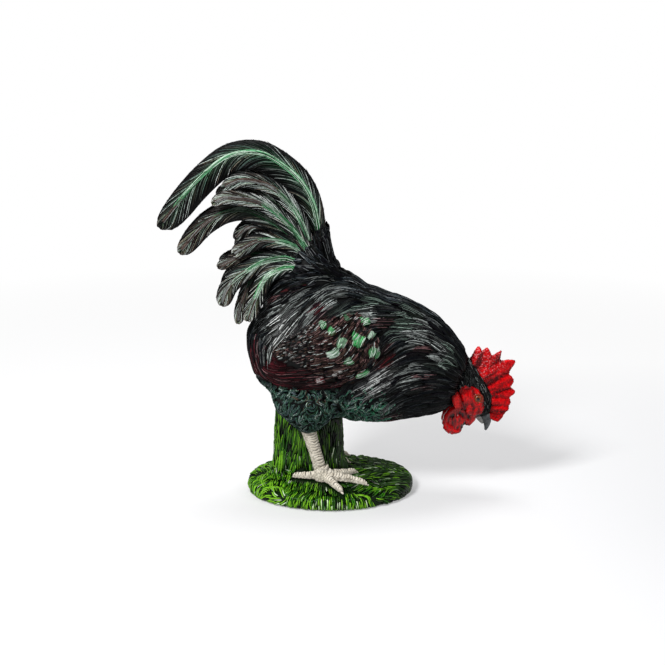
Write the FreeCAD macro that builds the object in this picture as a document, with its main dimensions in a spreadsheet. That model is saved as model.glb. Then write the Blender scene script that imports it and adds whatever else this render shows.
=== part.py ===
"""A pecking cockerel ornament: cast pieces on a grass mound, millimetres, +Z up, beak along +X."""
import FreeCAD, Part
import Sketcher
import math
import os
from types import SimpleNamespace

Vector = FreeCAD.Vector
UP = Vector(0, 0, 1)
ACROSS = Vector(0, 1, 0)
RIGHT = -1

doc = FreeCAD.newDocument("PeckingCockerel")

# Driving dimensions
SIZES = {
    "base_length": 180,
    "base_width": 144,
    "base_rim_height": 13,
    "base_crown_height": 20.5,
    "base_crown_slope": 30,
    "base_bottom_chamfer": 3,
    "stand_height": 165,
    "body_length": 174,
    "body_height": 160.6,
    "body_width": 120,
    "body_rear_overhang": 88,
    "cape_thickness": 3,
    "lock_ridge_height": 1.8,
    "neck_length": 55,
    "neck_drop": 17,
    "nape_height": 48.8,
    "head_width": 40,
    "head_reach": 27,
    "head_drop": 43,
    "beak_length": 24,
    "beak_height": 17,
    "beak_width": 13,
    "jaw_length": 17,
    "jaw_height": 10,
    "comb_length": 72,
    "comb_height": 45,
    "comb_root_thickness": 8,
    "comb_tip_thickness": 3.5,
    "comb_seat_depth": 9,
    "eye_radius": 5,
    "eye_dome_height": 2.2,
    "eye_socket_depth": 6,
    "cheek_length": 26,
    "cheek_height": 31,
    "cheek_proud": 3,
    "lobe_length": 10,
    "lobe_height": 23,
    "lobe_proud": 3.5,
    "wattle_drop": 36,
    "wattle_length": 28,
    "wattle_thickness": 11,
    "wattle_spread": 8,
    "front_wattle_length": 17,
    "front_wattle_drop": 24,
    "wing_length": 108,
    "wing_height": 76,
    "wing_proud": 8,
    "flight_length": 96,
    "flight_height": 29,
    "flight_proud": 5,
    "wing_seat_depth": 8,
    "wing_edge_sink": 1,
    "tail_root_height": 79,
    "tail_root_length": 90,
    "tail_root_width": 98,
    "tail_reach": 166,
    "tail_rise": 125,
    "rachis_ridge": 5.5,
    "plume_edge": 2,
    "plume_roll": 14,
    "plume_first_offset": 6,
    "plume_root_pitch": 5.5,
    "plume_tip_offset": 8,
    "plume_tip_pitch": 7,
    "main_sickle_width": 31,
    "second_sickle_width": 17,
    "third_sickle_width": 16,
    "long_plume_width": 22,
    "inner_plume_width": 16,
    "upper_plume_width": 18,
    "middle_plume_width": 14,
    "lower_plume_width": 20,
    "green_plume_width": 18,
    "rump_plume_width": 13,
    "leg_spread": 60,
    "thigh_length": 47,
    "thigh_hock_drop": 4,
    "thigh_depth": 80,
    "thigh_width": 46,
    "shank_top_radius": 8,
    "ankle_radius": 6.5,
    "ankle_height": 7,
    "hock_height": 82,
    "rod_radius": 2,
    "rod_cover": 4,
    "middle_toe_length": 54,
    "outer_toe_length": 39,
    "inner_toe_length": 46,
    "hind_toe_length": 35,
    "toe_radius": 5,
    "toe_sink": 1,
    "clump_length": 75,
    "clump_width": 36,
}

sheet = doc.addObject("Spreadsheet::Sheet", "Sizes")
for row, (name, value) in enumerate(SIZES.items(), 1):
    sheet.set(f"A{row}", name)
    sheet.set(f"B{row}", str(value))
    sheet.setAlias(f"B{row}", name)
doc.recompute()
d = SimpleNamespace(**{name: float(sheet.get(name)) for name in SIZES})

# Counts of facets round the carved forms, rows and steps along them, and how level an edge is
BODY_SIDES = 30
HEAD_SIDES = 12
LIMB_SIDES = 12
TOE_SIDES = 6
ROD_SIDES = 8
MOUND_SIDES = 36
CLUMP_SIDES = 18
WING_EDGE_STEPS = 8
PLUME_STEPS = 10
ROW_STEPS = 2
LEVEL_TOLERANCE = 0.01


# Shape helpers
def smooth_rows(rows, steps):
    """The rows of a table with more rows between them, on one smooth curve through all."""
    smooth = []
    last = len(rows) - 1
    for index in range(last):
        four = (rows[max(index - 1, 0)], rows[index], rows[index + 1], rows[min(index + 2, last)])
        for step in range(steps):
            t = step / steps
            smooth.append(tuple(
                b + t * (c - a + t * (2 * a - 5 * b + 4 * c - e + t * (3 * b - a - 3 * c + e))) / 2
                for a, b, c, e in zip(*four)))
    return smooth + [rows[last]]


def oval(centre, rise, side, sides):
    """Corner points of an oval ring with one half axis along rise and one along side."""
    angles = [2 * math.pi * (index + 0.5) / sides for index in range(sides)]
    return [centre + rise * math.sin(angle) + side * math.cos(angle) for angle in angles]


def skin(rings):
    """Closed solid of flat facets through rings of equally many corners, alike on both sides."""
    faces = []
    for near, far in zip(rings, rings[1:]):
        for here in range(len(near)):
            after = (here + 1) % len(near)
            a, b, c, e = near[here], near[after], far[after], far[here]
            halves = ((a, b, c), (a, c, e)) if a.y + b.y > 0 else ((a, b, e), (b, c, e))
            for corners in halves:
                faces.append(Part.Face(Part.makePolygon([*corners, corners[0]])))
    for ring in (rings[0], rings[-1]):
        faces.append(Part.Face(Part.makePolygon([*ring, ring[0]])))
    solid = Part.Solid(Part.Shell(faces))
    if solid.Volume < 0:
        solid.reverse()
    return solid


def tilted(degrees):
    """Unit vector in the plane of symmetry, turned forwards from straight up."""
    return Vector(math.sin(math.radians(degrees)), 0, math.cos(math.radians(degrees)))


def upright_rings(rows, sides):
    """Rings through rows of x, z, half height, half width and forward lean, centred across."""
    return [oval(Vector(x, 0, z), tilted(lean) * half_height, ACROSS * half_width, sides)
            for x, z, half_height, half_width, lean in rows]


def upright_skin(rows, sides):
    """Skin through upright rows."""
    return skin(upright_rings(rows, sides))


def feathered_skin(rows, sides):
    """Skin through upright rows with the main locks of feathers standing out as lengthwise ridges."""
    rings = upright_rings(rows, sides)
    for ring, row in zip(rings, rows):
        centre = Vector(row[0], 0, row[1])
        for index, point in enumerate(ring):
            out = (point - centre).normalize() * (d.lock_ridge_height / 2)
            ring[index] = point - out if index % 2 else point + out
    return skin(rings)


def level_skin(rows, across, sides):
    """Skin through level rows of z, x, half length and half width, centred at one place across."""
    return skin([oval(Vector(x, across, z), Vector(half_length, 0, 0), ACROSS * half_width, sides)
                 for z, x, half_length, half_width in rows])


def feature(name, shape):
    """A document object that holds a carved form."""
    carved = doc.addObject("Part::Feature", name)
    carved.Shape = shape
    return carved


def cut_by(base, *tools):
    """The base with each tool taken out of it in turn."""
    for tool in tools:
        cut = doc.addObject("Part::Cut", f"{base.Name}_cut")
        cut.Base = base
        cut.Tool = tool
        base = cut
    return base


def fused(name, objects):
    """One object made of all the objects given."""
    fuse = doc.addObject("Part::MultiFuse", name)
    fuse.Shapes = objects
    return fuse


def mirrored(name, source):
    """The other side's copy of a finished piece."""
    mirror = doc.addObject("Part::Mirroring", name)
    mirror.Source = source
    mirror.Normal = ACROSS
    return mirror


nodes = []


def node(label, piece):
    """Names a finished piece and keeps it for the hand-in."""
    piece.Label = label
    nodes.append(piece)
    return piece


def both_sides(name, piece):
    """Keeps a right-hand piece and its mirror image."""
    node(f"right_{name}", piece)
    return [piece, node(f"left_{name}", mirrored(f"left_{name}", piece))]


# Torso: rows of along, up, half height, half width as shares of the body's sizes, and lean
TORSO_SHARES = [
    (0, 0.025, 0.154, 0.17, -4),
    (0.063, 0.012, 0.437, 0.57, 6),
    (0.161, 0.05, 0.675, 0.77, 10),
    (0.27, 0.04, 0.847, 0.92, 11.8),
    (0.402, 0.037, 0.984, 1, 11.5),
    (0.54, 0, 1, 1, 11),
    (0.707, -0.063, 0.875, 0.93, 10.4),
    (0.862, -0.095, 0.835, 0.87, 9.2),
    (1, -0.117, 0.745, 0.8, 8.6),
]


def body_x(share):
    return share * d.body_length - d.body_rear_overhang


def body_z(share):
    return d.stand_height + share * d.body_height


torso_rows = smooth_rows(
    [(body_x(along), body_z(up), tall * d.body_height / 2, wide * d.body_width / 2, lean)
     for along, up, tall, wide, lean in TORSO_SHARES], ROW_STEPS)


def torso_at(x):
    """The torso's row at one place along it."""
    x = min(max(x, torso_rows[0][0]), torso_rows[-1][0])
    for near, far in zip(torso_rows, torso_rows[1:]):
        if x <= far[0]:
            t = (x - near[0]) / (far[0] - near[0])
            return tuple(a + t * (b - a) for a, b in zip(near, far))


def flank(x, z):
    """The torso's half width beside a point of the plane of symmetry."""
    centre_z, lean = torso_at(x)[1], math.radians(torso_at(x)[4])
    row = torso_at(x - (z - centre_z) * math.tan(lean))
    up = (z - row[1]) / (row[2] * math.cos(lean))
    return row[3] * math.sqrt(max(0, 1 - up * up))


raw_torso = feature("TorsoCasting", feathered_skin(torso_rows, BODY_SIDES))

# Mound: a many-sided oval pad, its foot chamfered and its crown sloped up from the rim
mound = doc.addObject("PartDesign::Body", "Mound")
planes = {plane.Role: plane for plane in mound.Origin.OriginFeatures}
mound_sketch = mound.newObject("Sketcher::SketchObject", "MoundOval")
mound_sketch.AttachmentSupport = [(planes["XY_Plane"], "")]
mound_sketch.MapMode = "FlatFace"
corners = oval(Vector(0, 0, 0), Vector(0, d.base_width / 2, 0), Vector(d.base_length / 2, 0, 0),
               MOUND_SIDES)
mound_sketch.addGeometry([Part.LineSegment(start, end)
                          for start, end in zip(corners, corners[1:] + corners[:1])], False)
for index, corner in enumerate(corners):
    before = (index - 1) % MOUND_SIDES
    mound_sketch.addConstraint(Sketcher.Constraint("Coincident", before, 2, index, 1))
    for way, place, size in (("DistanceX", corner.x, "base_length"),
                             ("DistanceY", corner.y, "base_width")):
        rule = mound_sketch.addConstraint(Sketcher.Constraint(way, -1, 1, index, 1, place))
        mound_sketch.setExpression(f"Constraints[{rule}]",
                                   f"Sizes.{size} * {place / getattr(d, size):.6f}")
mound_pad = mound.newObject("PartDesign::Pad", "MoundPad")
mound_pad.Profile = mound_sketch
mound_pad.setExpression("Length", "Sizes.base_crown_height")
doc.recompute()


def level_edges(shape, height):
    """Names of a shape's edges that lie level at one height."""
    return [f"Edge{index + 1}" for index, edge in enumerate(shape.Edges)
            if abs(edge.BoundBox.ZMin - height) + abs(edge.BoundBox.ZMax - height) < LEVEL_TOLERANCE]


crown_slope = mound.newObject("PartDesign::Chamfer", "CrownSlope")
crown_slope.Base = (mound_pad, level_edges(mound_pad.Shape, d.base_crown_height))
crown_slope.ChamferType = "Two distances"
crown_slope.setExpression("Size", "Sizes.base_crown_height - Sizes.base_rim_height")
crown_slope.setExpression("Size2", "Sizes.base_crown_slope")
doc.recompute()
foot_chamfer = mound.newObject("PartDesign::Chamfer", "FootChamfer")
foot_chamfer.Base = (crown_slope, level_edges(crown_slope.Shape, 0))
foot_chamfer.setExpression("Size", "Sizes.base_bottom_chamfer")
mound.Tip = foot_chamfer
doc.recompute()


def mound_height(x, y):
    """Height of the mound's surface at a place on it."""
    reach = math.hypot(2 * x / d.base_length, 2 * y / d.base_width)
    inset = (1 - min(reach, 1)) * d.base_width / 2
    rise = d.base_crown_height - d.base_rim_height
    return d.base_rim_height + rise * min(1, inset / d.base_crown_slope)


# Legs: feet with jointed toes, shanks, feathered thighs and the steel rods cast inside
ANKLE_SHARES = [
    # height over the mound and radius in toe radii
    (-0.6, 1.5),
    (0.8, 1.75),
    (2.2, 1.75),
    (3.4, 1.45),
]
TOE_SHARES = [
    # along the toe, radius, lift above resting as a share of the radius
    (0, 1.3, 1.1),
    (0.14, 1.25, 0.8),
    (0.27, 1.0, 0.25),
    (0.36, 1.12, 0.1),
    (0.46, 0.92, 0.1),
    (0.57, 1.0, 0.05),
    (0.67, 0.82, 0.05),
    (0.77, 0.86, 0.05),
    (0.88, 0.58, 0.25),
    (1, 0.14, -0.15),
]
SHANK_SHARES = [
    # along the shank, thickness
    (0, 1.15),
    (0.15, 1),
    (0.5, 0.94),
    (0.8, 1),
    (1.1, 1.1),
]
THIGH_SHARES = [
    # drop from the thigh's top, forward shift, half depth, half width
    (0, 0, 1, 1),
    (0.3, 0.02, 0.96, 1),
    (0.5, 0.025, 0.88, 0.97),
    (0.7, 0.02, 0.62, 0.86),
    (0.88, 0.015, 0.36, 0.6),
    (1, 0.01, 0.24, 0.42),
]
LEGS = [
    # name, side, ankle's place along the body, and turn of the foot outwards in degrees
    ("right", RIGHT, 0.454, 13),
    ("left", -RIGHT, 0.379, 32),
]
HOCK_SHARE = 0.365
TOE_SETTLE_SHARE = 0.8
TOES = [
    # name of its length, turn from the foot's own line outwards in degrees, share of the toe radius
    ("middle_toe_length", 0, 1),
    ("outer_toe_length", 40, 0.92),
    ("inner_toe_length", -41, 0.95),
    ("hind_toe_length", 180, 0.9),
]


def toe(ankle, heading, length, radius):
    """One toe with its knuckle pads and claw, its underside reaching down into the mound."""
    direction = Vector(math.cos(heading), math.sin(heading), 0)
    side = Vector(-direction.y, direction.x, 0)
    rings = []
    for along, thick, lift in TOE_SHARES:
        place = Vector(ankle.x, ankle.y, 0) + direction * (along * length)
        ground = mound_height(place.x, place.y)
        height = ground + radius * (thick * TOE_SETTLE_SHARE + lift)
        ring = oval(place + UP * height, UP * (radius * thick), side * (radius * thick), TOE_SIDES)
        stretch = (height - ground + d.toe_sink) / (radius * thick)
        for point in ring:
            if point.z < height:
                point.z = min(point.z, height - (height - point.z) * stretch)
        rings.append(ring)
    return skin(rings)


def shank_form(ankle, hock):
    """The scaled shank from inside the foot to inside the feathers of the thigh."""
    line = hock - ankle
    forwards = line.cross(ACROSS).normalize()
    rings = []
    for along, thick in SHANK_SHARES:
        radius = thick * (d.ankle_radius + along * (d.shank_top_radius - d.ankle_radius))
        rings.append(oval(ankle + line * along, forwards * radius, ACROSS * radius, LIMB_SIDES))
    return skin(rings)


leg_tools = []
thigh_tools = []
rods = []
hock_x = body_x(HOCK_SHARE)
thigh_top = d.hock_height - d.thigh_hock_drop + d.thigh_length
for name, side, ankle_share, turn in LEGS:
    across = side * d.leg_spread / 2
    hock = Vector(hock_x, across, d.hock_height)
    ankle = Vector(body_x(ankle_share), across, d.base_crown_height + d.ankle_height)
    axis = (hock - ankle).normalize()
    toes = [feature("Toe", toe(ankle, math.radians(side * (turn + spread)),
                               getattr(d, length), d.toe_radius * thick))
            for length, spread, thick in TOES]
    boss = feature("AnkleBoss", level_skin(
        [(d.base_crown_height + up * d.toe_radius, ankle.x, size * d.toe_radius, size * d.toe_radius)
         for up, size in ANKLE_SHARES], across, LIMB_SIDES))
    raw_foot = cut_by(fused(f"{name}_toes", [boss, *toes]), mound)

    thigh_rows = [(thigh_top - drop * d.thigh_length, hock_x + shift * d.thigh_depth,
                   deep * d.thigh_depth / 2, wide * d.thigh_width / 2)
                  for drop, shift, deep, wide in THIGH_SHARES]
    raw_thigh = feature(f"{name}_thigh_casting",
                        level_skin(smooth_rows(thigh_rows, ROW_STEPS), across, LIMB_SIDES))

    rod = doc.addObject("Part::Prism", f"{name}_rod")
    rod.Polygon = ROD_SIDES
    rod.setExpression("Circumradius", "Sizes.rod_radius")
    foot_end = ankle - axis * ((ankle.z - d.rod_cover) / axis.z)
    top_end = ankle + axis * ((d.stand_height - ankle.z) / axis.z)
    rod.Height = (top_end - foot_end).Length
    rod.Placement = FreeCAD.Placement(foot_end, FreeCAD.Rotation(UP, axis))
    rods.append(node(f"{name}_leg_rod", rod))

    raw_shank = feature(f"{name}_shank_casting", shank_form(ankle, hock))

    foot = node(f"{name}_foot", cut_by(raw_foot, rod))
    thigh = node(f"{name}_thigh", cut_by(raw_thigh, raw_torso, rod))
    shank = node(f"{name}_shank", cut_by(raw_shank, raw_foot, raw_thigh, rod))
    thigh_tools.append(raw_thigh)
    leg_tools += [raw_foot, raw_thigh, raw_shank]

node("grass_base", cut_by(mound, *rods))
node("body", cut_by(raw_torso, *rods))

# Grass clump that stands between the legs and carries the belly
CLUMP_SHARES = [
    # height between the crown and the torso's centre, forward shift, half length, half width
    (-0.05, 0.01, 1.35, 1.35),
    (0.03, 0, 1.1, 1.2),
    (0.1, -0.013, 1, 1.1),
    (0.22, -0.013, 0.97, 1),
    (0.45, -0.013, 0.93, 0.92),
    (0.65, -0.013, 0.85, 0.85),
]
CLUMP_PLACE_SHARE = 0.375
CLUMP_BLADES = 6
CLUMP_FLUTE_SHARE = 0.08


def clump_ring(height, x, half_length, half_width):
    """A level oval whose edge runs in and out round the blades."""
    points = []
    for index, point in enumerate(oval(Vector(0, 0, 0), Vector(half_length, 0, 0),
                                       ACROSS * half_width, CLUMP_SIDES)):
        swell = 1 + CLUMP_FLUTE_SHARE * math.cos(2 * math.pi * index * CLUMP_BLADES / CLUMP_SIDES)
        points.append(Vector(x, 0, height) + point * swell)
    return points


clump_span = d.stand_height - d.base_crown_height
clump_x = body_x(CLUMP_PLACE_SHARE)
clump = feature("ClumpCasting", skin([
    clump_ring(d.base_crown_height + up * clump_span, clump_x + shift * d.clump_length,
               long * d.clump_length / 2, wide * d.clump_width / 2)
    for up, shift, long, wide in CLUMP_SHARES]))
node("grass_clump", cut_by(clump, mound, raw_torso, *leg_tools))

# Tail root: a stiff tuft on the rump that holds the plumes
TAIL_ROOT_SHARES = [
    # height, forward shift, half length, half width
    (0, 0.02, 0.86, 0.84),
    (0.316, 0, 0.93, 0.88),
    (0.544, 0.033, 0.62, 0.76),
    (0.722, 0.078, 0.42, 0.68),
    (0.886, 0.144, 0.24, 0.48),
    (1, 0.2, 0.11, 0.24),
]
TAIL_PLACE_SHARE = 0.362
TAIL_SINK_SHARE = 0.311
PLUME_ORIGIN_SHARE = 0.595
PLUME_SHIFT_SHARE = 0.133

tail_x = body_x(TAIL_PLACE_SHARE)
tail_z = body_z(TAIL_SINK_SHARE)
raw_tail_root = feature("TailRootCasting", level_skin(smooth_rows(
    [(tail_z + up * d.tail_root_height, tail_x + shift * d.tail_root_length,
      long * d.tail_root_length / 2, wide * d.tail_root_width / 2)
     for up, shift, long, wide in TAIL_ROOT_SHARES], ROW_STEPS), 0, HEAD_SIDES))
node("tail_root", cut_by(raw_tail_root, raw_torso))

# Tail plumes: layer outwards from the middle, share of the width outside the rachis, and the
# rachis as points back and up from the plumes' origin
PLUMES = {
    "main_sickle": (1, 0.38, [
        (0, 0), (-0.01, 0.17), (0.03, 0.47), (0.13, 0.7), (0.3, 0.87), (0.42, 0.91),
        (0.54, 0.885), (0.64, 0.81), (0.8, 0.61), (1.01, 0.27)]),
    "second_sickle": (3, 0.5, [
        (0.01, 0), (0.06, 0.16), (0.14, 0.42), (0.28, 0.62), (0.46, 0.69), (0.6, 0.62)]),
    "third_sickle": (4, 0.5, [
        (0.03, 0), (0.09, 0.15), (0.19, 0.33), (0.35, 0.5), (0.56, 0.55), (0.66, 0.5)]),
    "long_plume": (2, 0.45, [
        (0.05, 0.02), (0.11, 0.13), (0.2, 0.25), (0.33, 0.36), (0.46, 0.43), (0.58, 0.41),
        (0.68, 0.34), (0.76, 0.25), (0.88, 0.06)]),
    "inner_plume": (1, 0.5, [
        (0.04, -0.02), (0.1, 0.08), (0.21, 0.17), (0.34, 0.26), (0.43, 0.28), (0.53, 0.17)]),
    "upper_plume": (3, 0.5, [
        (0.03, -0.02), (0.08, 0.05), (0.17, 0.14), (0.29, 0.18), (0.39, 0.17), (0.54, 0.06)]),
    "middle_plume": (2, 0.5, [
        (0.05, -0.06), (0.11, -0.01), (0.2, 0.03), (0.36, 0.05), (0.49, 0.03), (0.64, -0.06)]),
    "lower_plume": (4, 0.5, [
        (0.1, -0.06), (0.17, 0.02), (0.24, 0.03), (0.35, 0), (0.43, -0.06), (0.51, -0.13),
        (0.57, -0.22), (0.61, -0.37)]),
    "green_plume": (5, 0.5, [
        (0.11, -0.08), (0.17, -0.03), (0.24, -0.05), (0.31, -0.1), (0.36, -0.2), (0.43, -0.43),
        (0.44, -0.49)]),
    "rump_plume": (3, 0.5, [
        (0.13, -0.08), (0.27, -0.02), (0.36, -0.06), (0.42, -0.15), (0.49, -0.38), (0.51, -0.54)]),
}
PLUME_TIP_SHARE = 0.88
PLUME_WIDTH_SHARES = [
    # along the plume, width, ridge thickness
    (0, 0.45, 0.7),
    (0.12, 0.7, 0.9),
    (0.3, 0.95, 1),
    (0.55, 1, 1),
    (0.75, 1, 0.95),
    (0.88, 0.9, 0.85),
    (0.95, 0.68, 0.7),
    (0.985, 0.38, 0.55),
    (1, 0.12, 0.35),
]


def share_at(table, along):
    """A row of shares at one place along a form, between the table's rows."""
    for near, far in zip(table, table[1:]):
        if along <= far[0]:
            t = (along - near[0]) / (far[0] - near[0])
            return [a + t * (b - a) for a, b in zip(near, far)]
    return table[-1]


def plume(layer, outer_share, rachis, width):
    """A curved plume: six-sided in section, with a ridge down each face along its rachis."""
    origin_x = tail_x + PLUME_SHIFT_SHARE * d.tail_root_length
    origin_z = tail_z + PLUME_ORIGIN_SHARE * d.tail_root_height
    root_across = d.plume_first_offset + (layer - 1) * d.plume_root_pitch
    tip_across = d.plume_tip_offset + (layer - 1) * d.plume_tip_pitch
    points = []
    for index, (back, up) in enumerate(rachis):
        t = index / (len(rachis) - 1)
        across = RIGHT * (root_across + t * (tip_across - root_across))
        points.append(Vector(origin_x - back * d.tail_reach, across, origin_z + up * d.tail_rise))
    curve = Part.BSplineCurve()
    curve.interpolate(points)
    places = [index / PLUME_STEPS * PLUME_TIP_SHARE for index in range(PLUME_STEPS)]
    places += [row[0] for row in PLUME_WIDTH_SHARES if row[0] >= PLUME_TIP_SHARE]
    rings = []
    for along in places:
        wide, thick = share_at(PLUME_WIDTH_SHARES, along)[1:]
        parameter = curve.parameterAtDistance(along * curve.length(), curve.FirstParameter)
        centre = curve.value(parameter)
        outwards = ACROSS.cross(curve.tangent(parameter)[0]).normalize()
        roll = FreeCAD.Rotation(curve.tangent(parameter)[0], d.plume_roll)
        outwards, through = roll.multVec(outwards), roll.multVec(ACROSS)
        rings.append([
            centre + outwards * (offset * wide * width) + through * half
            for offset, half in (
                (outer_share, -d.plume_edge / 2),
                (0, -d.rachis_ridge * thick / 2),
                (outer_share - 1, -d.plume_edge / 2),
                (outer_share - 1, d.plume_edge / 2),
                (0, d.rachis_ridge * thick / 2),
                (outer_share, d.plume_edge / 2))])
    return skin(rings)


for name, (layer, outer_share, rachis) in PLUMES.items():
    casting = feature(f"{name}_casting", plume(layer, outer_share, rachis, getattr(d, f"{name}_width")))
    both_sides(name, cut_by(casting, raw_tail_root, raw_torso))

# Wings: the shield of coverts and, behind and below it, the flight feathers
WING_SHARES = [
    # along the wing, bottom and top of its outline
    (0, 0.26, 0.47),
    (0.12, 0.1, 0.67),
    (0.3, 0.03, 0.84),
    (0.53, 0, 0.99),
    (0.72, 0.02, 1),
    (0.88, 0.11, 0.95),
    (0.97, 0.29, 0.79),
    (1, 0.45, 0.6),
]
FLIGHT_SHARES = [
    (0, 0.62, 0.79),
    (0.13, 0.28, 0.97),
    (0.33, 0.07, 1),
    (0.6, 0, 0.9),
    (0.86, 0, 0.72),
    (1, 0.1, 0.48),
]
WING_PLACE_SHARE = 0.172
WING_DROP_SHARE = -0.168
FLIGHT_PLACE_SHARE = 0.034
FLIGHT_DROP_SHARE = -0.206


def wing_form(rows, start_x, bottom_z, length, height, proud):
    """A pillow over the right flank whose outline is given by shares, seated inside the torso."""
    rings = []
    for along, low, high in rows:
        x = start_x + along * length
        ring = []
        for step in range(WING_EDGE_STEPS + 1):
            t = step / WING_EDGE_STEPS
            z = bottom_z + (low + t * (high - low)) * height
            swell = math.sqrt(max(math.sin(math.pi * t), 0))
            rise = swell * (proud + d.wing_edge_sink) - d.wing_edge_sink
            ring.append(Vector(x, RIGHT * (flank(x, z) + rise), z))
        for z in (ring[-1].z, ring[0].z):
            ring.append(Vector(x, RIGHT * (flank(x, z) - d.wing_seat_depth), z))
        rings.append(ring)
    return skin(rings)


flights = feature("FlightCasting", wing_form(
    FLIGHT_SHARES, body_x(FLIGHT_PLACE_SHARE), body_z(FLIGHT_DROP_SHARE),
    d.flight_length, d.flight_height, d.flight_proud))
coverts = feature("WingCasting", wing_form(
    smooth_rows(WING_SHARES, ROW_STEPS), body_x(WING_PLACE_SHARE), body_z(WING_DROP_SHARE),
    d.wing_length, d.wing_height, d.wing_proud))
both_sides("wing", cut_by(coverts, raw_torso))
both_sides("flight_feathers", cut_by(flights, raw_torso, coverts, thigh_tools[0]))

# Neck hackle: a cape that starts on the shoulders and narrows to the nape, ridged as the torso is
CAPE_SHARES = [0.69, 0.78, 0.862, 0.93]
NECK_SHARES = [
    # along the neck, drop, and how much of the shoulder's size is left
    (0, 0, 1, 8.6),
    (0.38, 0.24, 0.81, 8),
    (0.67, 0.59, 0.56, 8.4),
    (0.89, 0.94, 0.3, 11),
    (1, 1, 0, 21),
]
shoulder = torso_rows[-1]
nape = SimpleNamespace(x=shoulder[0] + d.neck_length, z=shoulder[1] - d.neck_drop,
                       half_height=d.nape_height / 2, half_width=d.head_width / 2)
cape_rows = []
for share in CAPE_SHARES:
    x, z, half_height, half_width, lean = torso_at(body_x(share))
    cape_rows.append((x, z, half_height + d.cape_thickness, half_width + d.cape_thickness, lean))
for along, drop, left, lean in NECK_SHARES:
    half_height = nape.half_height + left * (shoulder[2] + d.cape_thickness - nape.half_height)
    half_width = nape.half_width + left * (shoulder[3] + d.cape_thickness - nape.half_width)
    cape_rows.append((shoulder[0] + along * d.neck_length, shoulder[1] - drop * d.neck_drop,
                      half_height, half_width, lean))
raw_neck = feature("CapeCasting", feathered_skin(cape_rows, BODY_SIDES))
node("neck_hackle", cut_by(raw_neck, raw_torso, coverts, mirrored("OtherCoverts", coverts)))

# Head, carried down and forwards from the nape
HEAD_SHARES = [
    # forwards, down, half height, half width, lean
    (0, 0, 1, 1, 21),
    (0.167, 0.244, 0.967, 0.95, 38),
    (0.407, 0.488, 0.93, 0.9, 48.6),
    (0.685, 0.709, 0.803, 0.75, 57.5),
    (0.907, 0.895, 0.504, 0.45, 68.6),
    (1, 1, 0.336, 0.35, 76),
]


def head_point(forwards, down):
    """A point of the plane of symmetry, as shares of the head's reach and drop."""
    return Vector(nape.x + forwards * d.head_reach, 0, nape.z - down * d.head_drop)


head_rows = []
for forwards, down, tall, wide, lean in HEAD_SHARES:
    centre = head_point(forwards, down)
    head_rows.append((centre.x, centre.z, tall * nape.half_height, wide * nape.half_width, lean))
raw_head = feature("HeadCasting", upright_skin(smooth_rows(head_rows, ROW_STEPS), HEAD_SIDES))

# Beak: the hooked upper bill over the short lower jaw
UPPER_BEAK_SHARES = [
    # forwards and down in beak lengths, half height, half width, lean
    (-0.02, -0.25, 0.94, 0.95, 76),
    (0.104, 0.04, 0.74, 0.9, 80),
    (0.19, 0.33, 0.5, 0.66, 88),
    (0.18, 0.58, 0.27, 0.38, 98),
    (0.135, 0.76, 0.1, 0.12, 105),
]
LOWER_BEAK_SHARES = [
    (-0.41, -0.24, 1, 0.8, 56),
    (-0.26, 0.12, 0.74, 0.72, 58),
    (-0.12, 0.38, 0.5, 0.5, 60),
    (0, 0.6, 0.18, 0.2, 62),
]
beak_root = head_point(1, 1)


def bill(shares, length, height):
    """A tapering bill through rows placed from the front of the head."""
    return upright_skin([(beak_root.x + forwards * length, beak_root.z - down * length,
                          tall * height / 2, wide * d.beak_width / 2, lean)
                         for forwards, down, tall, wide, lean in smooth_rows(shares, ROW_STEPS)],
                        LIMB_SIDES)


raw_upper_beak = feature("UpperBillCasting", bill(UPPER_BEAK_SHARES, d.beak_length, d.beak_height))
raw_lower_beak = feature("LowerBillCasting", bill(LOWER_BEAK_SHARES, d.jaw_length, d.jaw_height))
node("lower_beak", cut_by(raw_lower_beak, raw_head, raw_upper_beak))


# Face pieces: pillows that stand out of the side of the head
RING_REACH_SHARE = 0.17


def head_flank(point):
    """Half width of the head or neck beside a point, from the nearest row ahead or behind."""
    best = 0
    for x, z, half_height, half_width, lean in smooth_rows(head_rows, ROW_STEPS) + cape_rows[-3:]:
        offset = point - Vector(x, 0, z)
        up = offset.dot(tilted(lean)) / half_height
        off_ring = abs(offset.dot(tilted(lean + 90)))
        if abs(up) < 1 and off_ring < d.nape_height * RING_REACH_SHARE:
            best = max(best, half_width * math.sqrt(1 - up * up))
    return best


PILLOW_SHARES = [
    # depth from the middle of the head outwards, then size of the outline
    (0.35, 1),
    (0.8, 1),
    (0.93, 0.9),
    (0.98, 0.65),
    (1, 0.3),
]


def pillow(centre, length, height, lean, proud):
    """A rounded pad on the right side, its long way leaning forwards from upright."""
    reach = head_flank(centre) + proud
    return skin([oval(centre + ACROSS * (RIGHT * reach * depth), tilted(lean) * (height / 2 * size),
                      tilted(lean + 90) * (length / 2 * size), HEAD_SIDES)
                 for depth, size in PILLOW_SHARES])


EYE_PLACE_SHARES = (0.7, 0.44)
EYE_DOME_SHARES = [(0, 1), (0.5, 0.75), (0.85, 0.42), (1, 0.12)]
CHEEK_PLACE_SHARES = (0.44, 0.52)
LOBE_PLACE_SHARES = (-0.16, 0.47)
CHEEK_LEAN = -25
LOBE_LEAN = -18

eye_centre = head_point(*EYE_PLACE_SHARES)
eye_across = head_flank(eye_centre) + d.cheek_proud
eye_ball = feature("EyeBall", skin([
    oval(eye_centre + ACROSS * (RIGHT * (eye_across + depth)), UP * (d.eye_radius * size),
         Vector(d.eye_radius * size, 0, 0), LIMB_SIDES)
    for depth, size in [(-d.eye_socket_depth, 1)] + [
        (rise * d.eye_dome_height, size) for rise, size in EYE_DOME_SHARES]]))
eyes = both_sides("eye", eye_ball)

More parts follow.
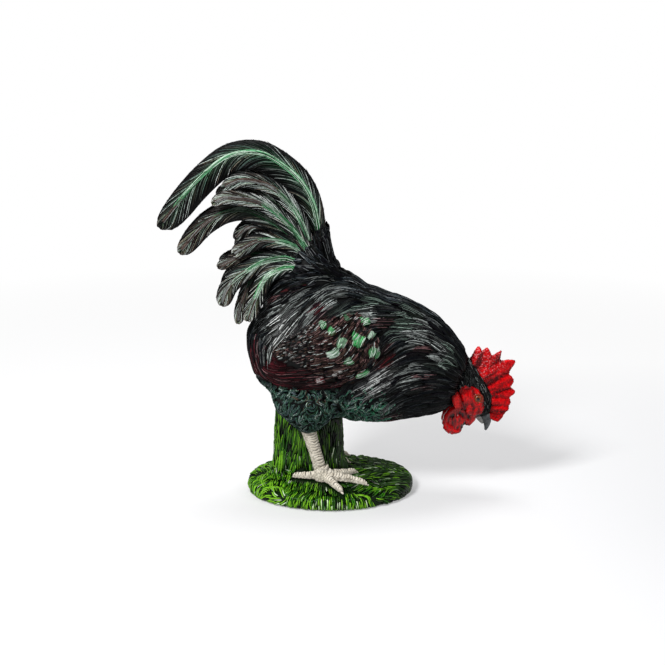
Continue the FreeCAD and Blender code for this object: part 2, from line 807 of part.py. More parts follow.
cheek_casting = feature("CheekCasting", pillow(
    head_point(*CHEEK_PLACE_SHARES), d.cheek_length, d.cheek_height, CHEEK_LEAN, d.cheek_proud))
lobe_casting = feature("LobeCasting", pillow(
    head_point(*LOBE_PLACE_SHARES), d.lobe_length, d.lobe_height, LOBE_LEAN, d.lobe_proud))
both_sides("cheek", cut_by(cheek_casting, raw_head, raw_neck, eye_ball))
both_sides("ear_lobe", cut_by(lobe_casting, raw_head, raw_neck, cheek_casting))
node("head", cut_by(raw_head, raw_neck, *eyes))

# Wattles: a long rear lobe and a short front lobe under the jaw
REAR_WATTLE_SHARES = [
    # drop, backward shift in lengths, half length, half thickness
    (0, 0, 0.6, 0.6),
    (0.17, 0.1, 0.85, 0.85),
    (0.42, 0.28, 1, 1),
    (0.67, 0.38, 0.95, 1),
    (0.89, 0.42, 0.68, 0.75),
    (1, 0.43, 0.28, 0.35),
]
FRONT_WATTLE_SHARES = [
    (0, 0, 0.7, 0.6),
    (0.35, 0.06, 1, 0.9),
    (0.7, 0.16, 0.9, 0.8),
    (1, 0.22, 0.35, 0.35),
]
REAR_WATTLE_PLACE_SHARES = (0.2, 0.63)
FRONT_WATTLE_PLACE_SHARES = (0.45, 0.7)


def wattle_lobe(shares, place, length, drop):
    """One hanging lobe, its root inside the head."""
    top = head_point(*place)
    rows = [(top.z - down * drop, top.x - back * length, long * length / 2,
             thick * d.wattle_thickness / 2)
            for down, back, long, thick in smooth_rows(shares, ROW_STEPS)]
    return level_skin(rows, RIGHT * d.wattle_spread, LIMB_SIDES)


wattle = fused("WattleLobes", [
    feature("RearLobe", wattle_lobe(REAR_WATTLE_SHARES, REAR_WATTLE_PLACE_SHARES,
                                    d.wattle_length, d.wattle_drop)),
    feature("FrontLobe", wattle_lobe(FRONT_WATTLE_SHARES, FRONT_WATTLE_PLACE_SHARES,
                                     d.front_wattle_length, d.front_wattle_drop))])
both_sides("wattle", cut_by(wattle, raw_head, raw_neck, raw_lower_beak, cheek_casting, lobe_casting))

# Comb: a single comb cut to points, thinner towards them, sunk into the skull
COMB_SHARES = [
    # back from the comb's front end and outwards, as shares of the comb's length and height
    (1.15, 0.1), (1.2, 0.24), (1.12, 0.29), (1.15, 0.43), (1, 0.49), (1.05, 0.76),
    (0.9, 0.65), (0.84, 1), (0.81, 0.98), (0.65, 0.73), (0.55, 0.83), (0.52, 0.8),
    (0.47, 0.7), (0.37, 0.76), (0.35, 0.72), (0.31, 0.6), (0.23, 0.6), (0.19, 0.53), (0.11, 0.48),
    (0.08, 0.37), (0.02, 0.27), (0, 0.16), (0.07, 0.05),
]
COMB_SEAT_SHARES = (0.28, 1)
COMB_FRONT_SHARES = (1.334, 1.224)
COMB_TILT = 72.2
COMB_TAPER_SHARE = 1.05

comb_body = doc.addObject("PartDesign::Body", "CombBlade")
comb_planes = {plane.Role: plane for plane in comb_body.Origin.OriginFeatures}
comb_sketch = comb_body.newObject("Sketcher::SketchObject", "CombOutline")
comb_sketch.AttachmentSupport = [(comb_planes["XZ_Plane"], "")]
comb_sketch.MapMode = "FlatFace"
corners = [Vector(-back * d.comb_length, out * d.comb_height, 0) for back, out in COMB_SHARES]
corners += [Vector(-back * d.comb_length, -d.comb_seat_depth, 0) for back in COMB_SEAT_SHARES]
for start, end in zip(corners, corners[1:] + corners[:1]):
    comb_sketch.addGeometry(Part.LineSegment(start, end), False)
comb_pad = comb_body.newObject("PartDesign::Pad", "CombPad")
comb_pad.Profile = comb_sketch
comb_pad.setExpression("Length", "Sizes.comb_root_thickness")
comb_pad.Midplane = True
comb_placement = FreeCAD.Placement(head_point(*COMB_FRONT_SHARES),
                                   FreeCAD.Rotation(ACROSS, COMB_TILT))
comb_body.Placement = comb_placement

comb_taper = doc.addObject("Part::Wedge", "CombTaper")
comb_taper.Xmin = comb_taper.X2min = -2 * d.comb_length
comb_taper.Xmax = comb_taper.X2max = d.comb_length
comb_taper.Ymin = -d.comb_seat_depth
comb_taper.setExpression("Ymax", f"Sizes.comb_height * {COMB_TAPER_SHARE}")
comb_taper.setExpression("Zmin", "-Sizes.comb_root_thickness / 2")
comb_taper.setExpression("Zmax", "Sizes.comb_root_thickness / 2")
comb_taper.setExpression("Z2min", "-Sizes.comb_tip_thickness / 2")
comb_taper.setExpression("Z2max", "Sizes.comb_tip_thickness / 2")
comb_taper.Placement = comb_placement.multiply(
    FreeCAD.Placement(Vector(0, 0, 0), FreeCAD.Rotation(Vector(1, 0, 0), 90)))
comb = doc.addObject("Part::Common", "CombShape")
comb.Base = comb_body
comb.Tool = comb_taper
node("comb", cut_by(comb, raw_head, raw_neck))
node("upper_beak", cut_by(raw_upper_beak, raw_head, comb))

doc.recompute()

# Every object has to be sound before anything is written
faults = [item.Name for item in doc.Objects if {"Invalid", "Error"} & set(item.State)]
faults += [piece.Label for piece in nodes if piece.Shape.isNull() or not piece.Shape.isValid()]
if faults:
    raise RuntimeError(f"unsound objects: {', '.join(faults)}")

os.makedirs("parts", exist_ok=True)
for piece in nodes:
    piece.Shape.exportStep(f"parts/{piece.Label}.step")
print(f"{len(nodes)} pieces written")
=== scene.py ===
"""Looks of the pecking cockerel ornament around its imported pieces: metres, +Z up, beak along +X."""
import math
from typing import NamedTuple

import bmesh
import bpy
import numpy as np
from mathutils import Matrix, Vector, noise
from mathutils.bvhtree import BVHTree


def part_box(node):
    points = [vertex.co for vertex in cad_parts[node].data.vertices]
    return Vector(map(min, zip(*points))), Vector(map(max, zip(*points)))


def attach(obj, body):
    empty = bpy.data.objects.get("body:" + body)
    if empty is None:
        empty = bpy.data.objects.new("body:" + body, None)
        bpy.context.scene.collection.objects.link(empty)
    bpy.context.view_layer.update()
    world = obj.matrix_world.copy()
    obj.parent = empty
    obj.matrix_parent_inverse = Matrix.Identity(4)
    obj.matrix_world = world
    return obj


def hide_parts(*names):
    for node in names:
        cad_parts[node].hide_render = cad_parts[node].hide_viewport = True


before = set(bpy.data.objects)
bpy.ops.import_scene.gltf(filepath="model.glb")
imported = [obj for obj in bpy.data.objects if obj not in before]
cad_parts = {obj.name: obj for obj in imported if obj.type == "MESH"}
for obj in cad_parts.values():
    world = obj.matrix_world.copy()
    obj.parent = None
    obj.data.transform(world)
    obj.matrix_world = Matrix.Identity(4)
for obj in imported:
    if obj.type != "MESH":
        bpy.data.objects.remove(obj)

scene = bpy.context.scene
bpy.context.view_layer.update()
MM = 0.001
SIDES = {"right": -1, "left": 1}

# Camera, at the photograph's viewing angle
PHOTO_SIDE = 665
LENS = 75
SENSOR = 36
CAMERA_PLACE = Vector((0.0025, -1.4489, 0.5672))
CAMERA_TARGET = Vector((0.0025, 0, 0.179))


def aim(thing, place, target):
    """Puts a camera or lamp at a place and turns it to a target."""
    turn = (Vector(target) - Vector(place)).to_track_quat("-Z", "Y")
    thing.location = place
    thing.rotation_euler = turn.to_euler()
    scene.collection.objects.link(thing)
    return turn


lens = bpy.data.cameras.new("camera")
lens.lens = LENS
lens.sensor_width = SENSOR
camera = bpy.data.objects.new("camera", lens)
camera_turn = aim(camera, CAMERA_PLACE, CAMERA_TARGET)
scene.camera = camera


# Meshes
def settled(thing):
    """The mesh that an object's modifiers give; the object itself is taken away."""
    scene.collection.objects.link(thing)
    graph = bpy.context.evaluated_depsgraph_get()
    mesh = bpy.data.meshes.new_from_object(thing.evaluated_get(graph))
    bpy.data.objects.remove(thing)
    return mesh


def meshed(mould):
    """The mesh of a finished bmesh, shaded smooth."""
    for face in mould.faces:
        face.smooth = True
    mesh = bpy.data.meshes.new("form")
    mould.to_mesh(mesh)
    mould.free()
    return mesh


def coordinates(mesh):
    """The places of a mesh's points, as rows of x, y and z."""
    flat = np.empty(len(mesh.vertices) * 3)
    mesh.vertices.foreach_get("co", flat)
    return flat.reshape(-1, 3)


def smooth_form(nodes, voxel, rounds, swell=0):
    """A closed mesh over CAD pieces, remade in small even faces, smoothed, and swollen or shrunk."""
    mould = bmesh.new()
    for name in nodes:
        mould.from_mesh(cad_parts[name].data)
    bmesh.ops.remove_doubles(mould, verts=mould.verts, dist=0.01 * MM)
    thing = bpy.data.objects.new("form", meshed(mould))
    remade = thing.modifiers.new("even_faces", "REMESH")
    remade.mode = "VOXEL"
    remade.voxel_size = voxel * MM
    remade.use_smooth_shade = True
    smoothed = thing.modifiers.new("smoothed", "SMOOTH")
    smoothed.factor = 0.5
    smoothed.iterations = rounds
    if swell:
        swollen = thing.modifiers.new("swollen", "DISPLACE")
        swollen.mid_level = 0
        swollen.strength = swell * MM
    return settled(thing)


def strip(shape, section):
    """Closed unit form for feathers and blades: x across, y along from 0 to 1, z up.

    Each row of the shape is a place along and the width there; the section is corners of x and z.
    """
    unit = bmesh.new()
    across = unit.loops.layers.uv.new("strand")
    verts = [unit.verts.new((x, 0, z)) for x, z in section]
    ring = [unit.edges.new((verts[index - 1], verts[index])) for index in range(len(verts))]
    bmesh.ops.contextual_create(unit, geom=ring)
    for near, far in zip(shape, shape[1:]):
        grown = bmesh.ops.extrude_edge_only(unit, edges=ring)["geom"]
        ring = [item for item in grown if isinstance(item, bmesh.types.BMEdge)]
        fresh = [item for item in grown if isinstance(item, bmesh.types.BMVert)]
        bmesh.ops.scale(unit, verts=fresh, vec=(far[1] / near[1], 1, far[1] / near[1]))
        bmesh.ops.translate(unit, verts=fresh, vec=(0, far[0] - near[0], 0))
    bmesh.ops.contextual_create(unit, geom=ring)
    bmesh.ops.scale(unit, verts=unit.verts, vec=(shape[0][1], 1, shape[0][1]))
    bmesh.ops.recalc_face_normals(unit, faces=unit.faces)
    widest = max(abs(x) for x, z in section)
    widths = dict(shape)
    for face in unit.faces:
        for loop in face.loops:
            place = min(widths, key=lambda along: abs(along - loop.vert.co.y))
            loop[across].uv = (0.5 + loop.vert.co.x / widths[place] / widest / 2, place)
    return meshed(unit)


def bent(unit, strands, turn=1.0):
    """One mesh with a copy of the unit along each strand.

    A strand is its points, its ways across and up, then its dye and its glint at the root and the tip.
    A copy goes from its root colour to its tip colour, early where the turn is under 1.
    """
    row = bpy.data.objects.new("row", unit)
    repeat = row.modifiers.new("repeat", "ARRAY")
    repeat.count = len(strands)
    repeat.use_relative_offset = False
    mesh = settled(row)
    corners = coordinates(mesh).reshape(len(strands), -1, 3)
    stations = np.unique(np.round(corners[0, :, 1], 4))
    step = np.abs(stations[None, :] - corners[0, :, 1:2]).argmin(1)
    points, across, up, dye, glint = (np.array(part) for part in zip(*strands))
    placed = points[:, step] + across[:, step] * corners[:, :, 0:1] + up[:, step] * corners[:, :, 2:3]
    mesh.vertices.foreach_set("co", placed.ravel())
    along = (corners[0, :, 1] ** turn)[None, :, None]
    for key, ends in (("dye", dye), ("glint", glint)):
        shades = ends[:, :1] * (1 - along) + ends[:, 1:] * along
        layer = mesh.attributes.new(key, "FLOAT_COLOR", "POINT")
        layer.data.foreach_set("color", shades.ravel())
    mesh.update()
    return mesh


def piece(name, mesh, material, slot, *nodes):
    """Adds a finished mesh as a piece that stands for CAD nodes and moves with the ornament."""
    thing = bpy.data.objects.new(name, mesh)
    mesh.name = name
    mesh.materials.clear()
    mesh.materials.append(material)
    scene.collection.objects.link(thing)
    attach(thing, "root")
    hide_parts(*nodes)


# Surfaces that feathers and blades are laid on
class Surface:
    """A mesh to lay feathers on: its nearest points, and random points spread evenly over it."""

    def __init__(self, mesh):
        mesh.calc_loop_triangles()
        corners = np.empty(len(mesh.loop_triangles) * 3, np.int32)
        mesh.loop_triangles.foreach_get("vertices", corners)
        self.points = coordinates(mesh)
        self.corners = corners.reshape(-1, 3)
        self.tree = BVHTree.FromPolygons(self.points.tolist(), self.corners.tolist())

    def nearest(self, point):
        place, normal, face, distance = self.tree.find_nearest(point)
        return place, normal

    def seen_at(self, across, down):
        """The point seen at a pixel of the photograph's frame, or else the nearest one."""
        half = PHOTO_SIDE / 2
        ray = camera_turn @ Vector((across - half, half - down, -LENS / SENSOR * PHOTO_SIDE))
        place, normal, face, distance = self.tree.ray_cast(CAMERA_PLACE, ray.normalized())
        if place is None:
            place, normal = self.nearest(CAMERA_PLACE - ray * (CAMERA_PLACE.y / ray.y))
        return place

    def spread(self, gap, wanted, rng):
        """Points at least a gap apart, all over the part of the surface that is wanted."""
        a, b, c = (self.points[self.corners[:, index]] for index in range(3))
        areas = np.linalg.norm(np.cross(b - a, c - a), axis=1) / 2
        tries = int(areas.sum() / gap ** 2 * 5)
        faces = rng.choice(len(areas), tries, p=areas / areas.sum())
        s, t = np.sqrt(rng.random(tries)), rng.random(tries)
        picked = (a[faces] * (1 - s)[:, None] + b[faces] * (s * (1 - t))[:, None]
                  + c[faces] * (s * t)[:, None])
        cells = {}
        kept = []
        for spot in picked.tolist():
            point = Vector(spot)
            cell = tuple(int(value // gap) for value in spot)
            close = (other for x in (-1, 0, 1) for y in (-1, 0, 1) for z in (-1, 0, 1)
                     for other in cells.get((cell[0] + x, cell[1] + y, cell[2] + z), ()))
            if any((other - point).length < gap for other in close) or not wanted(point):
                continue
            cells.setdefault(cell, []).append(point)
            kept.append(point)
        return kept


def one_side(point):
    """A place, or its mirror image on the left, because both sides are alike."""
    return Vector((point.x, abs(point.y), point.z))


ARROW_PIXELS = 5
ARROW_PULL = 4 * MM
SPRAY_FLATTENING = 0.8


class Flow:
    """Which way feathers lie: listed arrows, the nearest counting most, alike on both sides."""

    def __init__(self, surface, arrows):
        places, ways = [], []
        for across, down, right, below in arrows:
            here = surface.seen_at(across, down)
            there = surface.seen_at(across + right * ARROW_PIXELS, down + below * ARROW_PIXELS)
            places.append(one_side(here))
            way = (there - here).normalized()
            ways.append((way.x, -way.y, way.z))
        self.places = np.array(places)
        self.ways = np.array(ways)

    def at(self, point):
        side = 1 if point.y >= 0 else -1
        away = self.places - np.array(one_side(point))
        pull = 1 / ((away ** 2).sum(1) + ARROW_PULL ** 2) ** 2
        x, y, z = (self.ways * pull[:, None]).sum(0)
        return Vector((x, y * side, z)).normalized()


def trail(surface, flow, start, length, steps, curl):
    """Points, ways along and normals of a path that follows the flow over a surface."""
    place, normal = surface.nearest(start)
    points, ways, normals = [], [], []
    for step in range(steps + 1):
        way = flow(place)
        way = way - normal * way.dot(normal)
        way = (way.normalized() + normal.cross(way) * (curl * step / steps)).normalized()
        points.append(place)
        ways.append(way)
        normals.append(normal)
        place, normal = surface.nearest(place + way * (length / steps))
    return np.array(points), np.array(ways), np.array(normals)


def spray(surface, flow, start, length, steps, curl):
    """Like a trail, but it keeps its first way, and so leaves the surface with its tip."""
    place, normal = surface.nearest(start)
    way = flow(place)
    way = (way - normal * way.dot(normal) * SPRAY_FLATTENING + normal.cross(way) * curl).normalized()
    points = [place + way * (length * step / steps) for step in range(steps + 1)]
    return np.array(points), np.array([way] * (steps + 1)), np.array([normal] * (steps + 1))


TRAIL_STEPS = 10
LEAST_HEIGHT = 1.8 * MM
STRAND_SHAPE = [
    # place along a strand and the share of its width there
    (0, 0.4), (0.1, 0.75), (0.28, 1), (0.5, 1), (0.7, 0.9), (0.85, 0.68), (0.95, 0.38), (1, 0.05),
]
STRAND_SECTION = [(-0.5, 0), (0, -0.35), (0.5, 0), (0, 0.42)]
STRAND_PLACES = np.array([place for place, width in STRAND_SHAPE])
strand_unit = strip(STRAND_SHAPE, STRAND_SECTION)

# How unlike the feathers and their strands are: shares of a size, except the rise in millimetres
LENGTH_SPREAD = (0.65, 1.2)
WIDTH_SPREAD = (1.0, 1.45)
THICKNESS_SPREAD = (0.8, 1.3)
RISE_SPREAD = (-0.35, 0.35)
ROOT_STAGGER = (0, 0.12)
TIP_STAGGER = (0, 0.15)
SIDE_STRANDS_SHORTER = 0.2
CLOSING_POWER = 1.6


class Lock(NamedTuple):
    """A kind of feather or tuft, in millimetres: strands side by side, drawn together to its tip."""

    length: float
    width: float
    strands: int
    thickness: float
    lift: tuple             # how high its root and its tip lie
    close: float = 0.55     # the share of its width that is gone at its tip
    crown: float = 0.8      # how far its middle arches over its sides
    curl: float = 0.0       # how far it may turn aside


def along_trail(part, places):
    """Values of a trail at places from 0 to 1 along it."""
    spots = np.linspace(0, 1, len(part))
    return np.stack([np.interp(places, spots, part[:, axis]) for axis in range(3)], 1)


def locks(surface, flow, roots, rng, kind, paint, lay=trail):
    """Feathers of one kind, laid from their roots over a surface and painted, as a list of strands."""
    strands = []
    low, high = kind.lift
    for root in roots:
        reach = kind.length * rng.uniform(*LENGTH_SPREAD) * MM
        curl = rng.uniform(-kind.curl, kind.curl)
        spine, ways, normals = lay(surface, flow, root, reach, TRAIL_STEPS, curl)
        sideways = np.cross(ways, normals)
        tones = paint(root, rng)
        for index in range(kind.strands):
            side = (index + 0.5) / kind.strands * 2 - 1
            first = rng.uniform(*ROOT_STAGGER)
            last = 1 - abs(side) * SIDE_STRANDS_SHORTER - rng.uniform(*TIP_STAGGER)
            places = first + STRAND_PLACES * (last - first)
            middle, way, normal = (along_trail(part, places) for part in (spine, sideways, normals))
            aside = side * kind.width / 2 * (1 - kind.close * places ** CLOSING_POWER)
            arch = kind.crown * (1 - side * side) * np.sin(math.pi * places)
            rise = low + (high - low) * places + arch + rng.uniform(*RISE_SPREAD)
            spot = middle + way * (aside * MM)[:, None] + normal * (rise * MM)[:, None]
            spot[:, 2] = np.maximum(spot[:, 2], LEAST_HEIGHT)
            wide = kind.width / kind.strands * rng.uniform(*WIDTH_SPREAD) * MM
            thick = kind.thickness * rng.uniform(*THICKNESS_SPREAD) * MM
            strands.append((spot, way * wide, normal * thick, *tones(side)))
    return strands


# Colours, written as they look
def shade(code):
    """Linear colour of a web colour code."""
    parts = [int(code[index:index + 2], 16) / 255 for index in (1, 3, 5)]
    return [part / 12.92 if part <= 0.04045 else ((part + 0.055) / 1.055) ** 2.4 for part in parts]


# Finishes
class Finish:
    """A painted finish made of shader nodes; each short call adds one and gives its result."""

    def __init__(self, name, **settings):
        self.material = bpy.data.materials.new(name)
        self.material.use_nodes = True
        self.tree = self.material.node_tree
        self.shader = self.tree.nodes["Principled BSDF"]
        for key, value in settings.items():
            self.set(self.shader, key.replace("_", " ").title().replace("Ior", "IOR"), value)

    def set(self, shader_node, key, value):
        socket = shader_node.inputs[key]
        if isinstance(value, bpy.types.NodeSocket):
            self.tree.links.new(value, socket)
        elif isinstance(value, list):
            socket.default_value = (*value, 1)[:len(socket.default_value)]
        else:
            socket.default_value = value

    def add(self, kind, inputs=None, out=0, **options):
        made = self.tree.nodes.new(f"ShaderNode{kind}")
        for key, value in options.items():
            setattr(made, key, value)
        for key, value in (inputs or {}).items():
            self.set(made, key, value)
        return made.outputs[out]

    def calc(self, operation, a, b=0.0, clamp=False):
        return self.add("Math", {0: a, 1: b}, operation=operation, use_clamp=clamp)

    def mix(self, share, a, b):
        return self.add("Mix", {0: share, 6: a, 7: b}, out=2, data_type="RGBA")

    def fade(self, value, low, high, start=0.0, end=1.0):
        return self.add("MapRange", {0: value, 1: low, 2: high, 3: start, 4: end})

    def noise(self, vector, scale, detail=3.0, rough=0.55):
        return self.add("TexNoise", {"Vector": vector, "Scale": scale, "Detail": detail, "Roughness": rough})

    def place(self):
        return self.add("TexCoord", out=3)

    def bump(self, height, strength, distance):
        normal = self.add("Bump", {"Height": height, "Strength": strength, "Distance": distance * MM})
        self.set(self.shader, "Normal", normal)


def strand_paint(name, streak, rough, coat, gloss, worn_from, groove):
    """Paint over strands: their own dye, with the glint brushed dry along their ridges."""
    finish = Finish(name, coat_weight=coat, coat_roughness=0.15, specular_ior_level=gloss)
    split = finish.add("SeparateXYZ", {0: finish.add("UVMap", uv_map="strand")}).node.outputs
    dye = finish.add("Attribute", attribute_name="dye")
    glint = finish.add("Attribute", attribute_name="glint")
    chance, strength = dye.node.outputs[3], glint.node.outputs[3]
    hair = finish.add("CombineXYZ", {0: finish.calc("MULTIPLY", split[0], 2.2),
                                     1: finish.calc("MULTIPLY", split[1], streak),
                                     2: finish.calc("MULTIPLY", chance, 60.0)})
    broken = finish.noise(hair, 1.0, 2.0)
    specks = finish.noise(finish.place(), 520.0, 2.0)
    centred = finish.calc("ABSOLUTE", finish.calc("SUBTRACT", split[0], 0.5))
    brush = finish.calc("ADD", finish.calc("MULTIPLY", finish.fade(centred, 0.36, 0.1), 0.6), broken)
    brush = finish.calc("ADD", brush, finish.calc("MULTIPLY", specks, 0.4))
    worn = finish.calc("MULTIPLY", finish.fade(brush, worn_from, worn_from + 0.22), strength, True)
    deep = finish.mix(finish.fade(centred, groove, 0.48, 1.0, 0.08), shade("#010102"), dye)
    finish.set(finish.shader, "Base Color", finish.mix(worn, deep, glint))
    finish.set(finish.shader, "Roughness", finish.fade(worn, 0.0, 1.0, rough, rough + 0.12))
    finish.bump(broken, 0.5, 0.3)
    return finish.material


plumage_paint = strand_paint("brushed_feather_paint", 5.0, 0.27, 0.0, 0.055, 1.07, 0.2)
plume_paint = strand_paint("brushed_plume_paint", 5.0, 0.27, 0.0, 0.09, 1.06, 0.25)
grass_paint = strand_paint("glossy_grass_paint", 2.0, 0.2, 0.06, 0.12, 0.88, 0.14)
petal_paint = strand_paint("dabbed_feather_paint", 3.0, 0.27, 0.0, 0.1, 0.94, 0.28)


def plain_paint(name, low, high, scale, rough):
    """Dull paint over a form, mottled between two colours, with a fine uneven surface."""
    finish = Finish(name, specular_ior_level=0.12)
    mottle = finish.noise(finish.place(), scale, 4.0, 0.6)
    paint = finish.mix(finish.fade(mottle, 0.35, 0.68), shade(low), shade(high))
    finish.set(finish.shader, "Base Color", paint)
    finish.set(finish.shader, "Roughness", finish.fade(mottle, 0.3, 0.7, rough, rough + 0.12))
    finish.bump(finish.noise(finish.place(), scale * 2.5, 4.0), 0.5, 0.4)
    return finish.material


under_paint = plain_paint("black_under_paint", "#010202", "#060708", 400.0, 0.5)
soil_paint = plain_paint("dark_grass_under_paint", "#020a02", "#0b2406", 300.0, 0.4)


def carved_paint(name, deep, low, high, scale, rough, coat, specks=None):
    """Paint over a carved form: darkest in its grooves, mottled between two colours elsewhere.

    Specks are painted highlights, given as a place, how far from it they reach, and their colour.
    """
    finish = Finish(name, coat_weight=coat, coat_roughness=0.12, specular_ior_level=0.06)
    relief = finish.add("Attribute", attribute_name="relief", out=2)
    mottle = finish.noise(finish.place(), scale, 4.0, 0.65)
    paint = finish.mix(finish.fade(mottle, 0.32, 0.72), shade(low), shade(high))
    if specks:
        place, reach, tint = specks
        # Painted highlights: pale specks near a place on the form.
        away = finish.add("VectorMath", {0: finish.place(), 1: place}, out=1, operation="DISTANCE")
        highlight_dots = finish.fade(finish.noise(finish.place(), 620.0, 2.0), 0.55, 0.64)
        paint = finish.mix(finish.calc("MULTIPLY", highlight_dots, finish.fade(away, reach, reach * 0.4, 0.0, 0.85)),
                           paint, shade(tint))
    colour = finish.mix(finish.fade(relief, 0.1, 0.72), shade(deep), paint)
    finish.set(finish.shader, "Base Color", colour)
    finish.set(finish.shader, "Roughness", finish.fade(mottle, 0.3, 0.7, rough, rough + 0.12))
    finish.bump(finish.noise(finish.place(), scale * 1.8, 3.0), 0.4, 0.25)
    return finish.material


# Pale pink specks of painted highlight on the comb: a place, how far they reach, and their colour.
COMB_HIGHLIGHT_SPECKS = ([0.158, 0, 0.158], 0.043, "#f0969a")
CARVED_FINISHES = {
    # colour in the grooves, the two mottled colours, the mottle's scale, roughness and coat, and for the comb
    # its specks of painted highlight
    "comb": ("red_comb_paint", "#400002", "#900105", "#ee0a12", 300, 0.2, 0.12, COMB_HIGHLIGHT_SPECKS),
    "cheek": ("red_face_paint", "#480102", "#840105", "#e0080f", 330, 0.16, 0.25),
    "wattle": ("glossy_wattle_paint", "#2a0002", "#700104", "#f20810", 330, 0.08, 0.35),
    "ear_lobe": ("bright_red_lobe_paint", "#4c0406", "#9c090c", "#c81f1e", 380, 0.24, 0.2),
    "eye_lid": ("orange_eye_rim_paint", "#400a04", "#7c1c0e", "#9c3a1e", 420, 0.2, 0.3),
    "leg": ("off_white_leg_paint", "#241f1a", "#bcb3a2", "#ebe4d6", 260, 0.42, 0.05),
    "upper_beak": ("slate_beak_paint", "#0c0d0e", "#2b3033", "#74797c", 260, 0.26, 0.35),
    "lower_beak": ("pale_beak_paint", "#1a1a1a", "#7d7e7c", "#c4c3be", 260, 0.3, 0.2),
}
carved_paints = {part: carved_paint(*finish) for part, finish in CARVED_FINISHES.items()}


def carve(mesh, depth_at):
    """Moves a mesh's points along their normals, and keeps how high each one stands from 0 to 1."""
    relief = mesh.attributes.new("relief", "FLOAT", "POINT")
    moved = []
    for vert in mesh.vertices:
        depth, height = depth_at(vert.co, vert.normal)
        moved.append((vert.index, vert.co + vert.normal * (depth * MM)))
        relief.data[vert.index].value = height
    for index, place in moved:
        mesh.vertices[index].co = place
    mesh.update()
    return mesh


# Steel rods cast inside the legs
steel = Finish("drawn_steel", metallic=1.0)
grain = steel.noise(steel.add("Mapping", {0: steel.place(), 3: [1.0, 1.0, 0.05]}), 900.0)
steel.set(steel.shader, "Base Color", steel.mix(grain, shade("#8b8d90"), shade("#c4c6c8")))
steel.set(steel.shader, "Roughness", steel.fade(grain, 0.3, 0.7, 0.25, 0.45))
for side in SIDES:
    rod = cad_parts[f"{side}_leg_rod"]
    rod.data.materials.clear()
    rod.data.materials.append(steel.material)

# The figure that the feathers lie on, and which node each place of it belongs to
FEATHERED = ["body", "neck_hackle", "tail_root"] + [
    f"{side}_{name}" for side in SIDES for name in ("wing", "flight_feathers", "thigh")]
figure = Surface(smooth_form(FEATHERED, voxel=2.5, rounds=8))
own_surfaces = {name: Surface(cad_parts[name].data) for name in FEATHERED}


def owner(point):
    """The CAD node whose surface is nearest."""
    return min(own_surfaces, key=lambda name: (own_surfaces[name].nearest(point)[0] - point).length)


FEATHER_ARROWS = [
    # pixel across and down, then the way feathers point there from root to tip
    (458, 356, -0.6, -0.75), (440, 326, -0.75, -0.66), (415, 307, -0.9, -0.43), (385, 297, -0.9, -0.35),
    (360, 285, -0.85, -0.45), (346, 272, -0.7, -0.7), (336, 256, -0.45, -0.89), (327, 245, -0.3, -0.95),
    (440, 345, -0.85, -0.5), (420, 335, -0.97, -0.2), (400, 330, -1, -0.05), (380, 318, -0.98, 0.05),
    (360, 305, -1, 0.0), (345, 292, -0.98, 0.1),
    (455, 380, -0.9, -0.4), (440, 368, -0.93, -0.35), (425, 360, -0.98, -0.15), (405, 357, -0.9, 0.35),
    (390, 350, -0.75, 0.65), (385, 340, -0.7, 0.7),
    (450, 392, -0.98, -0.1), (430, 385, -1, 0.02), (410, 378, -0.95, 0.25), (392, 384, -0.85, 0.5),
    (378, 395, -0.9, 0.4), (440, 405, -1, 0.05), (415, 402, -0.97, 0.2), (395, 405, -0.85, 0.5),
    (380, 412, -0.8, 0.5), (430, 412, -1, 0.08), (400, 416, -1, 0.1),
    (328, 270, -0.95, -0.3), (303, 267, -0.95, -0.2), (313, 280, -0.95, 0.2), (340, 288, -0.98, 0.1),
    (325, 293, -0.85, 0.5), (300, 300, -0.75, 0.65), (276, 298, -0.85, 0.5), (288, 320, -0.6, 0.8),
    (267, 315, -0.7, 0.7), (270, 335, -0.5, 0.85), (257, 335, -0.2, 0.98), (256, 355, 0.1, 0.98),
    (320, 308, -0.7, 0.7), (345, 305, -0.85, 0.5), (305, 325, -0.65, 0.75),
    (320, 258, -0.7, -0.7), (310, 252, -0.6, -0.75), (322, 245, -0.25, -0.95), (293, 268, -0.9, 0.2),
    (283, 282, -0.85, 0.45), (300, 400, 0.2, 0.95), (285, 395, 0.4, 0.9), (320, 415, 0.0, 1),
    (345, 400, -0.5, 0.85), (365, 410, -0.8, 0.5),
]
WING_ARROWS = [
    (370, 318, -0.9, 0.3), (345, 316, -0.75, 0.65), (325, 322, -0.7, 0.7), (374, 345, -0.1, 1),
    (365, 330, -0.5, 0.85), (372, 362, -0.45, 0.9), (360, 375, -0.95, 0.3), (340, 372, -1, 0.15),
    (345, 345, -0.5, 0.85), (330, 345, -0.9, 0.4), (318, 352, -1, 0.15), (300, 350, -0.95, 0.25),
    (285, 352, -0.85, 0.45), (325, 362, -1, 0.1), (305, 335, -0.75, 0.65),
]
FLIGHT_ARROWS = [
    (325, 383, -1, 0.05), (305, 385, -1, -0.02), (285, 384, -0.98, -0.15), (272, 380, -0.85, -0.5),
    (263, 375, -0.6, -0.8), (257, 366, -0.2, -0.98), (258, 358, 0.1, -0.99), (267, 360, -0.5, -0.85),
    (285, 368, -1, 0.05), (270, 364, -0.9, -0.1), (300, 372, -1, 0.05),
]
feather_flow = Flow(figure, FEATHER_ARROWS)
wing_flow = Flow(figure, WING_ARROWS)
flight_flow = Flow(figure, FLIGHT_ARROWS)

BLACK = shade("#07080a")
SLATE = shade("#4e575c")
SILVER = shade("#c9d2cf")
WHITE = shade("#f1f5f3")
SAGE = shade("#93ab9e")
MAROON = shade("#6e2229")
ROSE = shade("#b98a8c")
BROWN = shade("#6b544c")
DUN = shade("#8d7a70")
MINT = shade("#86cf9d")
PALE_MINT = shade("#d9f3df")
LEAF = shade("#3fae5c")
PALE_LEAF = shade("#96c9a0")


def ramp(value, start, run):
    """From 0 at the start to 1 at the end of the run, which may go either way."""
    return min(1, max(0, (value - start) / run))


def bell(value, middle, reach):
    """1 at the middle, falling softly to almost 0 at twice the reach."""
    return math.exp(-((value - middle) / reach) ** 2)


